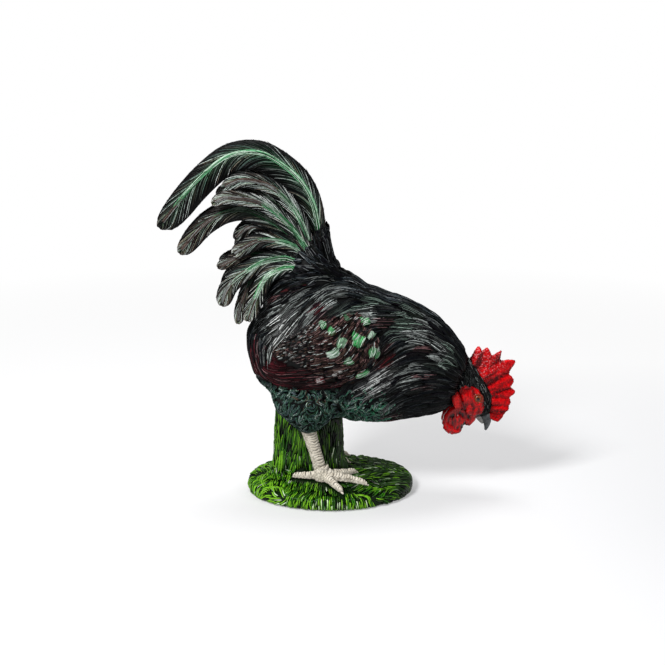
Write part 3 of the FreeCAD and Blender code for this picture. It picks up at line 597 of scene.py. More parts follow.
def table_at(table, places):
    """Values of a two-column table at places along it."""
    return np.interp(places, [row[0] for row in table], [row[1] for row in table])


def uneven(colour, least, most, rng):
    """A colour with each of its channels a little off."""
    return [value * rng.uniform(least, most) for value in colour]


def stroke(rng, chance, strong, weak):
    """How strongly the dry brush has caught one strand: well by chance, or else hardly."""
    return rng.uniform(*strong) if rng.random() < chance else rng.uniform(*weak)


def dyed(rng, dark, tint, power):
    """One strand's dye and glint, the same from root to tip."""
    return [(*dark, rng.random())] * 2, [(*tint, power)] * 2


# Where the brush has left its colours: pixel across and down, reach in pixels, colour and strength
FEATHER_PATCHES = [
    (419, 323, 12, SAGE, 1.05), (431, 338, 12, SILVER, 0.9), (448, 356, 10, SILVER, 1.0),
    (459, 364, 8, SAGE, 1.0), (450, 370, 7, SAGE, 0.9), (434, 348, 5, ROSE, 0.8),
    (400, 344, 7, MAROON, 0.7), (402, 361, 9, WHITE, 0.9), (385, 380, 11, WHITE, 1.1),
    (393, 371, 8, WHITE, 1.0), (425, 373, 11, SILVER, 0.5), (437, 382, 6, ROSE, 0.9),
    (430, 397, 5, ROSE, 0.35), (396, 401, 8, SILVER, 0.7), (387, 405, 7, ROSE, 0.35),
    (397, 356, 8, MAROON, 0.8), (440, 322, 14, SLATE, 0.8), (410, 300, 20, SLATE, 0.6),
    (380, 305, 13, SAGE, 0.7), (395, 320, 8, ROSE, 0.4), (382, 312, 10, SILVER, 0.6),
    (420, 405, 20, SLATE, 0.55), (455, 380, 12, SLATE, 0.3), (400, 414, 14, ROSE, 0.5),
    (279, 307, 14, SILVER, 0.7), (292, 313, 12, WHITE, 0.8), (286, 329, 9, WHITE, 0.8),
    (298, 325, 8, WHITE, 0.7), (280, 297, 8, ROSE, 0.5), (303, 283, 8, MAROON, 0.6),
    (331, 305, 11, MAROON, 0.7), (342, 293, 15, SILVER, 0.7), (358, 307, 12, SAGE, 0.7),
    (310, 300, 14, SILVER, 0.7), (256, 336, 12, MAROON, 0.5), (275, 345, 10, SILVER, 0.7),
    (308, 262, 18, SLATE, 0.8), (330, 262, 14, SLATE, 0.7), (365, 292, 24, SLATE, 0.6),
    (318, 280, 14, SLATE, 0.5),
]
PIXEL = 1.08 * MM
patch_places = [(one_side(figure.seen_at(across, down)), reach * PIXEL, colour, strength)
                for across, down, reach, colour, strength in FEATHER_PATCHES]


def plumage_tones(root, rng):
    """Colours of one lock's strands: black, and the brushed colour of the patch it lies in."""
    here = one_side(root)
    best, colour = 0.12, SLATE
    for place, reach, patch_colour, strength in patch_places:
        power = strength * bell((here - place).length, 0, reach) * rng.uniform(0.4, 1.4)
        if power > best:
            best, colour = power, patch_colour
    lock_power = best * rng.uniform(0.6, 1.5)
    whiter = [one * 0.75 + two * 0.25 for one, two in zip(colour, WHITE)]

    def tones(side):
        power = min(1.0, lock_power * stroke(rng, 0.36, (0.9, 1.8), (0, 0.25)))
        dark = uneven(BLACK, 0.3, 1.4, rng)
        tint = whiter if rng.random() < 0.3 else colour
        return [(*dark, rng.random())] * 2, [(*tint, power * 0.9), (*tint, power)]

    return tones


# Down: it covers the thighs, and the body below the flight feathers and behind the neck
DOWN_TOP = 134 * MM
DOWN_FRONT = 80 * MM
BREAST_FROM = 50 * MM
BREAST_SLOPE = 1.2
DEEP_DOWN = shade("#162b22")
GREEN_DOWN = shade("#5b8272")
GREY_DOWN = shade("#66757a")
BRIGHT_DOWN = shade("#57a884")
PALE_DOWN = shade("#b9cfc4")


def fluffy(point):
    """Whether short down covers the body here."""
    return point.z < DOWN_TOP - max(0, point.x - BREAST_FROM) * BREAST_SLOPE and point.x < DOWN_FRONT


def fluff_tones(root, rng):
    """Colours of one tuft of down: grey green, brighter to the front, with painted shadow below the flight
    band.
    """
    bright = ramp(root.x, 5 * MM, 40 * MM)
    brown = 0.5 * bell(root.x, -17 * MM, 14 * MM) * bell(root.z, 122 * MM, 10 * MM)
    # Painted shadow: down just below the overhanging flight band is darker, less so towards the front.
    painted_shadow = max(0.8 * bright, 0.25 + 0.75 * ramp(root.z, 136 * MM, -8 * MM))

    def tones(side):
        colour = GREEN_DOWN if rng.random() < 0.6 else GREY_DOWN
        if rng.random() < 0.5 * bright:
            colour = BRIGHT_DOWN
        if rng.random() < brown:
            colour = BROWN
        power = rng.uniform(0.1, 1.0) * painted_shadow + 0.9 * bright
        if rng.random() < 0.1 + 0.2 * bright:
            colour, power = PALE_DOWN, rng.uniform(0.6, 1.0) * painted_shadow
        dark = [value * (painted_shadow + 1.3 * bright) for value in uneven(DEEP_DOWN, 0.4, 1.4, rng)]
        return dyed(rng, dark, colour, power)

    return tones


# Flight feathers: the top edge of their band in millimetres back or forward and up
FLIGHT_TOP = [(-80, 170), (-57, 169), (-31, 162), (-10, 157), (16, 137.5), (50, 120)]
FLIGHT_DARK = np.array(shade("#0c0607"))
FLIGHT_MAROON = np.array(shade("#2b090e"))
FLIGHT_RED = shade("#722832")


def in_flight_band(point):
    """Whether a place on the wing belongs to the band of long flight feathers along its lower edge."""
    return point.z < table_at(FLIGHT_TOP, point.x / MM) * MM


def flight_tones(root, rng):
    """Colours of the flight feathers: dark maroon, brightest at their rear, one patch pinkish."""
    rear = ramp(root.x, -30 * MM, -30 * MM)
    pink = bell(root.x, -8 * MM, 7 * MM) * bell(root.z, 146 * MM, 8 * MM)
    low = FLIGHT_DARK * (1 - rear) + FLIGHT_MAROON * rear

    def tones(side):
        dark = low * rng.uniform(0.4, 1.4)
        power = stroke(rng, 0.2 + 0.25 * max(rear, pink), (0.4, 1.0), (0, 0.15))
        colour = FLIGHT_RED if rng.random() < 0.85 - pink * 0.6 else ROSE
        return dyed(rng, dark, colour, power)

    return tones


def dressed(name, node, slot, strands, paint=plumage_paint):
    """A feathered or grassy piece: all of its strands in one mesh."""
    piece(name, bent(strand_unit, strands), paint, slot, node)


def undercoat(node, slot, voxel, shrunk=0.8):
    """The black form under a node's feathers, a little inside it."""
    piece(f"{node}_undercoat", smooth_form([node], voxel, 3, -shrunk), under_paint, slot, node)


def swirling(place):
    """Down lies in small swirls."""
    turn = noise.noise(place / (8 * MM)) * 3.5 - 0.3
    return Vector((math.sin(turn), 0.3 * math.sin(turn * 3), -math.cos(turn)))


def hanging(place):
    """Saddle feathers hang off the rump."""
    return Vector((-0.85, 0, -0.5))


def on_saddle(point):
    return -66 * MM < point.x < -48 * MM and 195 * MM < point.z < 245 * MM


LOCK_GAP = 6.2 * MM
DOWN_GAP = 2.3 * MM
SADDLE_GAP = 3.5 * MM
LOCKS_ABOVE = 60 * MM
DOWN_BELOW = 150 * MM
RUMP_BEHIND = -50 * MM
TUFTS_ABOVE = 243 * MM
LONG_FEATHERS = Lock(35, 8.5, 6, 2.5, lift=(-0.3, 1.1), close=0.6, crown=0.6, curl=0.3)
SADDLE_FEATHERS = Lock(25, 6, 4, 2.4, lift=(0, 1.0), close=0.7, curl=0.2)
TAIL_TUFTS = Lock(15, 6, 3, 2.4, lift=(-0.5, 2.0), close=0.9, curl=0.3)
DOWN = Lock(10, 2.5, 2, 1.5, lift=(-0.3, 0.9), curl=0.9)
FLIGHT_VANES = Lock(38, 7.5, 6, 1.8, lift=(-0.3, 0.6), close=0.2, crown=0.3)
BAND_VANES = FLIGHT_VANES._replace(length=34)
RUMP_VANES = FLIGHT_VANES._replace(length=24)

roots = {name: [] for name in FEATHERED}
down_roots = {name: [] for name in FEATHERED}
spread_rng = np.random.default_rng(11)
for root in figure.spread(LOCK_GAP, lambda point: point.z > LOCKS_ABOVE, spread_rng):
    roots[owner(root)].append(root)
for root in figure.spread(DOWN_GAP, lambda point: point.z < DOWN_BELOW, spread_rng):
    if "thigh" in owner(root) or fluffy(root):
        down_roots[owner(root)].append(root)

for node in ("body", "neck_hackle", "tail_root"):
    rng = np.random.default_rng(len(node))
    rump = [root for root in roots[node]
            if in_flight_band(root) and root.x < RUMP_BEHIND and root.z > DOWN_TOP]
    long_roots = [root for root in roots[node] if not fluffy(root) and root not in rump]
    strands = locks(figure, feather_flow.at, long_roots, rng, LONG_FEATHERS, plumage_tones)
    strands += locks(figure, flight_flow.at, rump, rng, RUMP_VANES, flight_tones)
    down = locks(figure, swirling, down_roots[node], rng, DOWN, fluff_tones)
    if node == "body":
        saddle = figure.spread(SADDLE_GAP, on_saddle, rng)
        strands += locks(figure, hanging, saddle, rng, SADDLE_FEATHERS, plumage_tones, spray)
    if node == "tail_root":
        tufts = [root for root in long_roots if root.z > TUFTS_ABOVE]
        strands += locks(figure, feather_flow.at, tufts, rng, TAIL_TUFTS, plumage_tones, spray)
    dressed(f"{node}_feathers", node, "black_plumage", strands)
    if down:
        dressed(f"{node}_down", node, "down_plumage", down)
    undercoat(node, "black_plumage", 3)

for side in SIDES:
    node = f"{side}_thigh"
    down = locks(figure, swirling, down_roots[node], np.random.default_rng(21), DOWN, fluff_tones)
    dressed(f"{node}_down", node, "down_plumage", down)
    undercoat(node, "down_plumage", 2)

# Wings
WING_DARK = shade("#140d0e")
WING_ROSE = shade("#a07a78")
WING_GREY = shade("#8f8884")


def wing_tones(root, rng):
    """Colours on the wing shield: maroon brown, greyer and finely scratched towards the rear."""
    rear = ramp(root.x, 0, -30 * MM)

    def tones(side):
        dark = uneven(WING_DARK, 0.3, 1.5, rng)
        colour = BROWN if rng.random() < 0.6 else WING_ROSE
        if rng.random() < rear * 0.6:
            colour = WING_GREY if rng.random() < 0.6 else SILVER
        power = stroke(rng, 0.36, (0.5, 1.0), (0, 0.25))
        if rng.random() < 0.05:
            colour, power = SILVER, 1.0
        return dyed(rng, dark, colour, power)

    return tones


def shield_roots(side, gap, seed, wanted):
    """Roots a gap apart on one wing's shield, where they are wanted."""
    spread = figure.spread(gap, lambda point: wanted(point) and (point.y < 0) == (side == "right"),
                           np.random.default_rng(seed))
    return [root for root in spread if owner(root) == f"{side}_wing" and not in_flight_band(root)]


SHIELD_REAR = -10 * MM
SHIELD_BOTTOM = 120 * MM
FRONT_COVERTS = Lock(12, 6, 5, 2.2, lift=(-0.4, 1.4))
REAR_COVERTS = Lock(6, 3.8, 4, 1.5, lift=(-0.3, 1.4))
for side in SIDES:
    rng = np.random.default_rng(31)
    node = f"{side}_wing"
    band = [root for root in roots[node] if in_flight_band(root)]
    front = shield_roots(side, 4.2 * MM, 7, lambda point: point.x > SHIELD_REAR and point.z > SHIELD_BOTTOM)
    rear = shield_roots(side, 3.0 * MM, 3, lambda point: point.x <= SHIELD_REAR)
    strands = locks(figure, wing_flow.at, front, rng, FRONT_COVERTS, wing_tones)
    strands += locks(figure, wing_flow.at, rear, rng, REAR_COVERTS, wing_tones)
    strands += locks(figure, flight_flow.at, band, rng, BAND_VANES, flight_tones)
    dressed(f"{node}_coverts", node, "wing_plumage", strands)
    undercoat(node, "wing_plumage", 2)
    node = f"{side}_flight_feathers"
    vanes = locks(figure, flight_flow.at, roots[node], rng, FLIGHT_VANES, flight_tones)
    dressed(f"{node}_vanes", node, "flight_plumage", vanes)
    undercoat(node, "flight_plumage", 1.6, 0.6)

# Rounded feathers dabbed on the wing shield: pixel across and down, width, length, colour and brightness
PETALS = [
    (323, 325, 9, 11, LEAF, 0.6), (345, 319, 9, 9, LEAF, 0.4), (365, 322, 12, 12, LEAF, 0.8),
    (332, 331, 10, 13, LEAF, 1.0), (341, 343, 12, 15, PALE_LEAF, 1.0), (331, 352, 10, 21, PALE_LEAF, 1.0),
    (357, 339, 13, 22, LEAF, 1.1), (372, 335, 8, 12, PALE_LEAF, 0.8), (373, 352, 12, 16, LEAF, 0.7),
    (347, 362, 11, 14, LEAF, 0.7), (361, 372, 11, 23, LEAF, 1.1), (319, 379, 11, 14, MAROON, 1.2),
    (337, 371, 10, 12, BROWN, 0.9),
]

# Layers of a rounded feather: each one's size and how high its roots lie, in millimetres
PETAL_LAYERS = ((0.9, 0.1), (0.75, 0.4), (0.65, 0.7), (0.55, 1.0))


def petal_tones(colour, bright):
    """Colours of one rounded feather, dabbed pale along its middle and darker at its sides."""
    pale = [one * 0.2 + two * 0.8 for one, two in zip(colour, WHITE)]

    def lock_tones(root, rng):
        def tones(side):
            body = np.array(colour) * (rng.uniform(0.2, 1.1) * bright * (1 - 0.75 * side * side))
            dab = rng.uniform(0.9, 1.6) * bright if rng.random() < 0.5 else rng.uniform(0, 0.2)
            return ([(*body, rng.random())] * 2, [(*pale, dab * 0.5), (*pale, dab * (1 - side * side))])
        return tones
    return lock_tones


for side, sign in SIDES.items():
    rng = np.random.default_rng(41)
    strands = []
    for across, down, wide, long, colour, bright in PETALS:
        seen = figure.seen_at(across, down)
        middle = Vector((seen.x, seen.y * -sign, seen.z))
        for size, lift in PETAL_LAYERS:
            shift = Vector(rng.uniform(-0.3, 0.3, 3)) * (wide * (1.1 - size) * 2 * MM)
            start = middle + shift - wing_flow.at(middle) * (long * size / 2 * MM)
            kind = Lock(long * size * 1.1, wide * size, 6, 2.4, lift=(lift, lift + 1.0), close=0.3, crown=1.0,
                        curl=0.5)
            strands += locks(figure, wing_flow.at, [start], rng, kind, petal_tones(colour, bright))
    dressed(f"{side}_wing_rounded_feathers", f"{side}_wing", "wing_plumage", strands, petal_paint)

# Tail plumes, in millimetres: a rachis runs back and up from the origin, in shares of the reach and rise
TAIL_ORIGIN = (-13.04, 261.95)
TAIL_REACH = 166
TAIL_RISE = 125
PLUME_ROLL = math.radians(14)
PLUMES = {
    # layer, share of the width outside the rachis, width, the stripe's strength and reach, brown at the
    # tip, and the rachis: how far back and up
    "main_sickle": (1, 0.38, 31, 1.0, 1.0, 0.1, [
        (0, 0), (-0.01, 0.17), (0.03, 0.47), (0.13, 0.7), (0.3, 0.87), (0.42, 0.91),
        (0.54, 0.885), (0.64, 0.81), (0.8, 0.61), (1.01, 0.27)]),
    "second_sickle": (3, 0.5, 17, 0.7, 0.6, 0.4, [
        (0.01, 0), (0.06, 0.16), (0.14, 0.42), (0.28, 0.62), (0.46, 0.69), (0.6, 0.62)]),
    "third_sickle": (4, 0.5, 16, 0.75, 0.55, 0.7, [
        (0.03, 0), (0.09, 0.15), (0.19, 0.33), (0.35, 0.5), (0.56, 0.55), (0.66, 0.5)]),
    "long_plume": (2, 0.45, 22, 0.3, 0.7, 0.7, [
        (0.05, 0.02), (0.11, 0.13), (0.2, 0.25), (0.33, 0.36), (0.46, 0.43), (0.58, 0.41),
        (0.68, 0.34), (0.76, 0.25), (0.88, 0.06)]),
    "inner_plume": (1, 0.5, 16, 0.15, 0.5, 0.2, [
        (0.04, -0.02), (0.1, 0.08), (0.21, 0.17), (0.34, 0.26), (0.43, 0.28), (0.53, 0.17)]),
    "upper_plume": (3, 0.5, 18, 0.7, 0.5, 0.7, [
        (0.03, -0.02), (0.08, 0.05), (0.17, 0.14), (0.29, 0.18), (0.39, 0.17), (0.54, 0.06)]),
    "middle_plume": (2, 0.5, 14, 0.15, 0.5, 0.7, [
        (0.05, -0.06), (0.11, -0.01), (0.2, 0.03), (0.36, 0.05), (0.49, 0.03), (0.64, -0.06)]),
    "lower_plume": (4, 0.5, 20, 0.9, 0.65, 0.8, [
        (0.1, -0.06), (0.17, 0.02), (0.24, 0.03), (0.35, 0), (0.43, -0.06), (0.51, -0.13),
        (0.57, -0.22), (0.61, -0.37)]),
    "green_plume": (5, 0.5, 18, 1.1, 0.75, 1.0, [
        (0.11, -0.08), (0.17, -0.03), (0.24, -0.05), (0.31, -0.1), (0.36, -0.2), (0.43, -0.43),
        (0.44, -0.49)]),
    "rump_plume": (3, 0.5, 13, 0.15, 0.5, 1.0, [
        (0.13, -0.08), (0.27, -0.02), (0.36, -0.06), (0.42, -0.15), (0.49, -0.38), (0.51, -0.54)]),
}
PLUME_WIDTHS = [
    (0, 0.45), (0.12, 0.7), (0.3, 0.95), (0.55, 1), (0.75, 1), (0.88, 0.98), (0.94, 0.88), (0.975, 0.66),
    (0.993, 0.36), (1, 0.15),
]
PLUME_THICKNESS = [(0, 0.7), (0.3, 1), (0.75, 0.95), (0.88, 0.85), (0.95, 0.7), (0.985, 0.55), (1, 0.35)]
RACHIS_THICKNESS = 2.75
EDGE_THICKNESS = 1.0
STRAND_THICKNESS = 1.3 * MM
ROOT_ASIDE, ROOT_LAYER_GAP = 6, 5.5
TIP_ASIDE, TIP_LAYER_GAP = 8, 7
CURVE_STEPS = 24
LEVEL = np.array([0, 1, 0])


def plume_line(side, layer, rachis):
    """Points along a plume's rachis, on a smooth curve, and how far along each one is."""
    count = len(rachis) - 1
    corners = []
    for index, (back, up) in enumerate(rachis):
        far = index / count
        aside = ((ROOT_ASIDE + (layer - 1) * ROOT_LAYER_GAP) * (1 - far)
                 + (TIP_ASIDE + (layer - 1) * TIP_LAYER_GAP) * far)
        corners.append((TAIL_ORIGIN[0] - back * TAIL_REACH, side * aside, TAIL_ORIGIN[1] + up * TAIL_RISE))
    corners = np.array(corners) * MM
    ends = np.vstack([2 * corners[0] - corners[1], corners, 2 * corners[-1] - corners[-2]])
    t = np.linspace(0, 1, CURVE_STEPS, endpoint=False)[:, None]
    runs = []
    for index in range(count):
        a, b, c, e = ends[index:index + 4]
        runs.append(b + t * (c - a + t * (2 * a - 5 * b + 4 * c - e + t * (3 * b - a - 3 * c + e))) / 2)
    line = np.vstack(runs + [corners[-1:]])
    lengths = np.concatenate([[0], np.cumsum(np.linalg.norm(np.diff(line, axis=0), axis=1))])
    return line, lengths


class Plume:
    """A plume's blade: places on either face of it, by how far along and how far from its rachis."""

    def __init__(self, side, layer, outer, width, rachis):
        self.side, self.layer, self.outer, self.width = side, layer, outer, width * MM
        self.line, self.lengths = plume_line(side, layer, rachis)
        self.length = self.lengths[-1]

    def frame_at(self, along):
        """The rachis's points, and its ways outwards and through, at places along it."""
        places = np.clip(along, 0, 1) * self.length
        step = 0.5 * MM

        def spot(distance):
            return np.stack([np.interp(distance, self.lengths, self.line[:, axis]) for axis in range(3)], 1)

        way = spot(np.minimum(places + step, self.length)) - spot(np.maximum(places - step, 0))
        way /= np.linalg.norm(way, axis=1)[:, None]
        flat_out = np.cross(LEVEL, way)
        flat_out /= np.linalg.norm(flat_out, axis=1)[:, None]
        turn = -self.side * PLUME_ROLL
        outwards = flat_out * math.cos(turn) + LEVEL * math.sin(turn)
        through = LEVEL * math.cos(turn) - flat_out * math.sin(turn)
        return spot(places), outwards, through

    def strand(self, along, offset, face, rise, wide, dye, glint):
        """A strand on one face: its offset runs from -1 at the inner edge to 1 at the outer one."""
        centre, outwards, through = self.frame_at(along)
        share = np.where(offset > 0, self.outer, 1 - self.outer)
        out = offset * share * (table_at(PLUME_WIDTHS, along) * self.width)
        ridge = (table_at(PLUME_THICKNESS, along) * RACHIS_THICKNESS - EDGE_THICKNESS) * (1 - np.abs(offset))
        high = face * ((EDGE_THICKNESS + ridge) * MM + rise)
        spot = centre + outwards * out[:, None] + through * high[:, None]
        tangent = np.gradient(spot, axis=0)
        tangent /= np.linalg.norm(tangent, axis=1)[:, None]
        normal = through * face
        return spot, np.cross(tangent, normal) * wide, normal * STRAND_THICKNESS, dye, glint


BARB_GAP = 2.5 * MM
BARB_REACH = 36 * MM
BARBS_BEFORE_ROOT = 8
RACHIS_REACH = 38 * MM
RACHIS_LANES = 5
LANE_GAP = 1.3 * MM


def stripe_left(first, far, least):
    """How much of the green stripe is left at a place, when it ends at the far one."""
    return max(least, 1 - max(0, first / far) ** 3)


def barb_colours(blade, rng, first, stripe, brown, bright):
    """A barb's dye and glint at its root and its tip: green at the stripe, brown and brushed at the edge."""
    end = max(0, first) ** 2.5 * brown
    dark = np.array(BLACK) * rng.uniform(0.3, 1.3)
    tip = dark * (1 - end) + np.array(BROWN) * 0.4 * end
    root = dark + np.array(LEAF) * 0.12 * stripe * (rng.random() < 0.5)
    edge = WHITE if rng.random() < 0.2 * blade.layer else SILVER
    if rng.random() > 0.5:
        edge = DUN if rng.random() < 0.4 + end else SLATE
    brushed = 0.26 + 0.3 * end + 0.22 * (blade.layer - 1) * max(0.3, first)
    power = stroke(rng, brushed, (0.35, 1.2), (0, 0.08))
    wide = rng.uniform(1.0, 1.5) * MM
    dye = [(*root, rng.random()), (*tip, rng.random())]
    return wide, dye, [(*bright, stripe * rng.uniform(0.2, 1.0)), (*edge, power)]


def rachis_colours(rng, first, far, stripe, bright):
    """Dye and glint of a strand along the rachis: the pale green stripe, and silver or dun beyond it."""
    fading = stripe * stripe_left(first, far, 0.05)
    tint = PALE_MINT if rng.random() < 0.62 else bright
    green = np.array(BLACK) + np.array(LEAF) * 0.4 * fading * rng.uniform(0.2, 1)
    if first > far * 0.8:
        tint, fading = SILVER if rng.random() < 0.5 else DUN, max(fading, 0.35)
        green = np.array(BLACK) + np.array(BROWN) * 0.15
    power = fading * stroke(rng, 0.7, (1.0, 1.6), (0.1, 0.6))
    return rng.uniform(1.0, 1.4) * MM, *dyed(rng, green, tint, power)


def plume_barbs(blade, rng, stripe, far, brown, bright):
    """Barbs over both faces of a plume, and a narrow bundle of strands along its rachis."""
    strands = []
    sweep = min(BARB_REACH, blade.length * 0.25) / blade.length
    count = int(blade.length / BARB_GAP)
    for face in (-1, 1):
        for vane in (-1, 1):
            for index in range(-BARBS_BEFORE_ROOT, count):
                first = (index + rng.uniform(-0.3, 0.3)) / count
                run = min(sweep * rng.uniform(0.85, 1.15), (1 - first) * 0.995)
                along = np.clip(first + STRAND_PLACES * run, 0, 1) + STRAND_PLACES * 0.001
                offset = vane * (rng.uniform(0, 0.1) + STRAND_PLACES ** 1.3 * rng.uniform(0.82, 0.93))
                rise = (0.1 + 0.8 * STRAND_PLACES ** 0.6 + rng.uniform(-0.15, 0.25)) * MM
                here = stripe * stripe_left(first, far, 0)
                strands.append(blade.strand(along, offset, face, rise,
                                            *barb_colours(blade, rng, first, here, brown, bright)))
        for index in range(int(blade.length / RACHIS_REACH * 2) * RACHIS_LANES):
            lane = index % RACHIS_LANES - (RACHIS_LANES - 1) / 2
            first = index // RACHIS_LANES * RACHIS_REACH / 2 / blade.length + rng.uniform(-0.03, 0.03)
            run = RACHIS_REACH / blade.length
            along = np.clip(first + STRAND_PLACES * run, 0, 0.97) + STRAND_PLACES * 0.001
            half = blade.width * 0.5 * table_at(PLUME_WIDTHS, along)
            offset = lane * LANE_GAP * (1 - 0.45 * along) / half
            strands.append(blade.strand(along, offset, face, 1.1 * MM,
                                        *rachis_colours(rng, first, far, stripe, bright)))
    return strands


BLADE_PLACES = np.linspace(0, 1, 41)
BLADE_SECTION = [(-1, -0.5), (0, -1), (1, -0.5), (1, 0.5), (0, 1), (-1, 0.5)]
BLADE_RIDGE = 2.4
BLADE_EDGE = 1.6
BLADE_SHARE = 0.97
blade_unit = strip([(place, 1) for place in BLADE_PLACES.tolist()], BLADE_SECTION)


def plume_blade(blade):
    """The blade under a plume's barbs, a little thinner than the plume."""
    mesh = blade_unit.copy()
    across, along, up = coordinates(mesh).T
    centre, outwards, through = blade.frame_at(along)
    wide = table_at(PLUME_WIDTHS, along) * blade.width * BLADE_SHARE
    share = np.where(across > 0, blade.outer, 1 - blade.outer)
    thick = np.where(np.abs(across) < 0.5, BLADE_RIDGE * table_at(PLUME_THICKNESS, along), BLADE_EDGE) * MM
    placed = centre + outwards * (across * share * wide)[:, None] + through * (up * thick)[:, None]
    mesh.vertices.foreach_set("co", placed.ravel())
    mesh.update()
    if blade.side > 0:
        return mesh
    mould = bmesh.new()
    mould.from_mesh(mesh)
    bmesh.ops.recalc_face_normals(mould, faces=mould.faces)
    return meshed(mould)


GREEN_PLUME_TINT = shade("#74cf8b")
for name, (layer, outer, width, stripe, far, brown, rachis) in PLUMES.items():
    bright = GREEN_PLUME_TINT if name == "green_plume" else MINT
    for side, sign in SIDES.items():
        rng = np.random.default_rng(width + layer)
        blade = Plume(sign, layer, outer, width, rachis)
        node = f"{side}_{name}"
        barbs = bent(strand_unit, plume_barbs(blade, rng, stripe, far, brown, bright), 0.35)
        piece(f"{node}_barbs", barbs, plume_paint, "tail_plumage", node)
        piece(f"{node}_blade", plume_blade(blade), under_paint, "tail_plumage", node)


# Head, comb, face and beak
def pebble(place, size, sharp=2.2):
    """The height of small rounded pebbles, from 0 in the grooves between them to 1."""
    near = noise.voronoi(place / (size * MM))[0]
    return min(1, (near[1] - near[0]) * sharp)


def pebbled(size, height, wave=0.0, least=0.3):
    """A surface of small rounded pebbles over slow swells; its grooves are kept at the least relief."""
    def depth_at(place, normal):
        edge = pebble(place, size)
        slow = noise.noise(place / (7 * MM)) * wave
        return (edge - 0.5) * height + slow, least + (1 - least) * edge
    return depth_at


def wattle_folds(side):
    """A wattle's thick rim, the hollow inside it and the folds that run down it."""
    low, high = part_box(f"{side}_wattle")
    centre, half = (low + high) / 2, (high - low) / 2

    def depth_at(place, normal):
        reach = math.hypot((place.x - centre.x) / half.x, (place.z - centre.z) / half.z)
        rim = bell(reach, 0.85, 0.13)
        pit = bell(reach, 0.5, 0.24)
        folds = noise.noise(Vector((place.x / (2.6 * MM), 0, place.z / (6 * MM)))) * (1 - rim)
        height = 0.72 + rim * 0.4 - pit * 0.45 + folds * 0.8
        return rim * 0.9 - pit * 1.4 + folds * 1.4, max(0, min(1, height))
    return depth_at


def wrinkled(line, depth):
    """Wrinkles that follow the lines of a pattern, under fine pebbles."""
    def depth_at(place, normal):
        fold = noise.noise(line(place))
        fine = pebble(place, 1.7)
        height = 0.74 + fold + (fine - 0.7) * 0.6
        return fold * depth + (fine - 0.5) * 0.7, max(0, min(1, height))
    return depth_at


COMB_ROOT = Vector((135, 0, 102)) * MM


def comb_fan(place):
    """Lines that fan out from the head into the comb's lobes."""
    away = place - COMB_ROOT
    return Vector((math.atan2(away.z, away.x) * 11, away.length / (30 * MM), 0))


def cheek_lines(place):
    """Lines that run down the cheek."""
    return Vector((place.x / (4.5 * MM), 0, place.z / (9 * MM)))


def drawn_out(mesh, way, reach):
    """Draws the side of a form that faces a way out into a blunt corner."""
    way = Vector(way).normalized()
    places = [vert.co.dot(way) for vert in mesh.vertices]
    middle, most = (min(places) + max(places)) / 2, max(places)
    for vert, place in zip(mesh.vertices, places):
        vert.co += way * (reach * MM * max(0, (place - middle) / (most - middle)) ** 2)
    return mesh


comb_form = smooth_form(["comb"], voxel=0.8, rounds=9, swell=0.5)
comb_flesh = carve(comb_form, wrinkled(comb_fan, depth=1.9))
piece("comb_flesh", comb_flesh, carved_paints["comb"], "red_flesh", "comb")
TO_NAPE, NAPE_REACH = (-0.58, 0, 0.81), 5.5
TO_CHIN, CHIN_REACH = (0.5, 0, -0.85), 3
for side in SIDES:
    for name, slot, shape in (("cheek", "red_flesh", wrinkled(cheek_lines, depth=1.5)),
                              ("wattle", "red_flesh", wattle_folds(side)),
                              ("ear_lobe", "lobe_flesh", pebbled(size=2.4, height=0.3, wave=0.6))):
        node = f"{side}_{name}"
        form = smooth_form([node], voxel=0.6, rounds=3, swell=0.2)
        if name == "cheek":
            drawn_out(drawn_out(form, TO_NAPE, NAPE_REACH), TO_CHIN, CHIN_REACH)
        piece(f"{node}_flesh", carve(form, shape), carved_paints[name], slot, node)
for name in ("upper_beak", "lower_beak"):
    form = smooth_form([name], voxel=0.5, rounds=4, swell=0.5)
    horn = carve(form, pebbled(size=4.0, height=0.1, wave=0.3, least=0.7))
    piece(f"{name}_horn", horn, carved_paints[name], "beak_horn", name)

crown_form = smooth_form(["head"], voxel=1.0, rounds=4, swell=-0.3)
crown = Surface(crown_form)
piece("head_undercoat", crown_form, under_paint, "crown_plumage", "head")
CROWN_GAP = 2.4 * MM
CROWN_FEATHERS = Lock(9, 3.0, 3, 0.9, lift=(-0.3, 0.5))


def crown_tones(root, rng):
    """Colours of the head's short feathers: black, a few of them brushed silver."""
    def tones(side):
        dark = uneven(BLACK, 0.4, 1.4, rng)
        return dyed(rng, dark, SILVER, stroke(rng, 0.14, (0.4, 0.9), (0, 0.12)))
    return tones


def crown_flow(place):
    """Feathers of the head point back and up from the beak towards the nape."""
    return Vector((-0.45, 0, 0.9))


rng = np.random.default_rng(51)
crown_roots = crown.spread(CROWN_GAP, lambda point: True, rng)
crown_strands = locks(crown, crown_flow, crown_roots, rng, CROWN_FEATHERS, crown_tones)
dressed("head_feathers", "head", "crown_plumage", crown_strands)

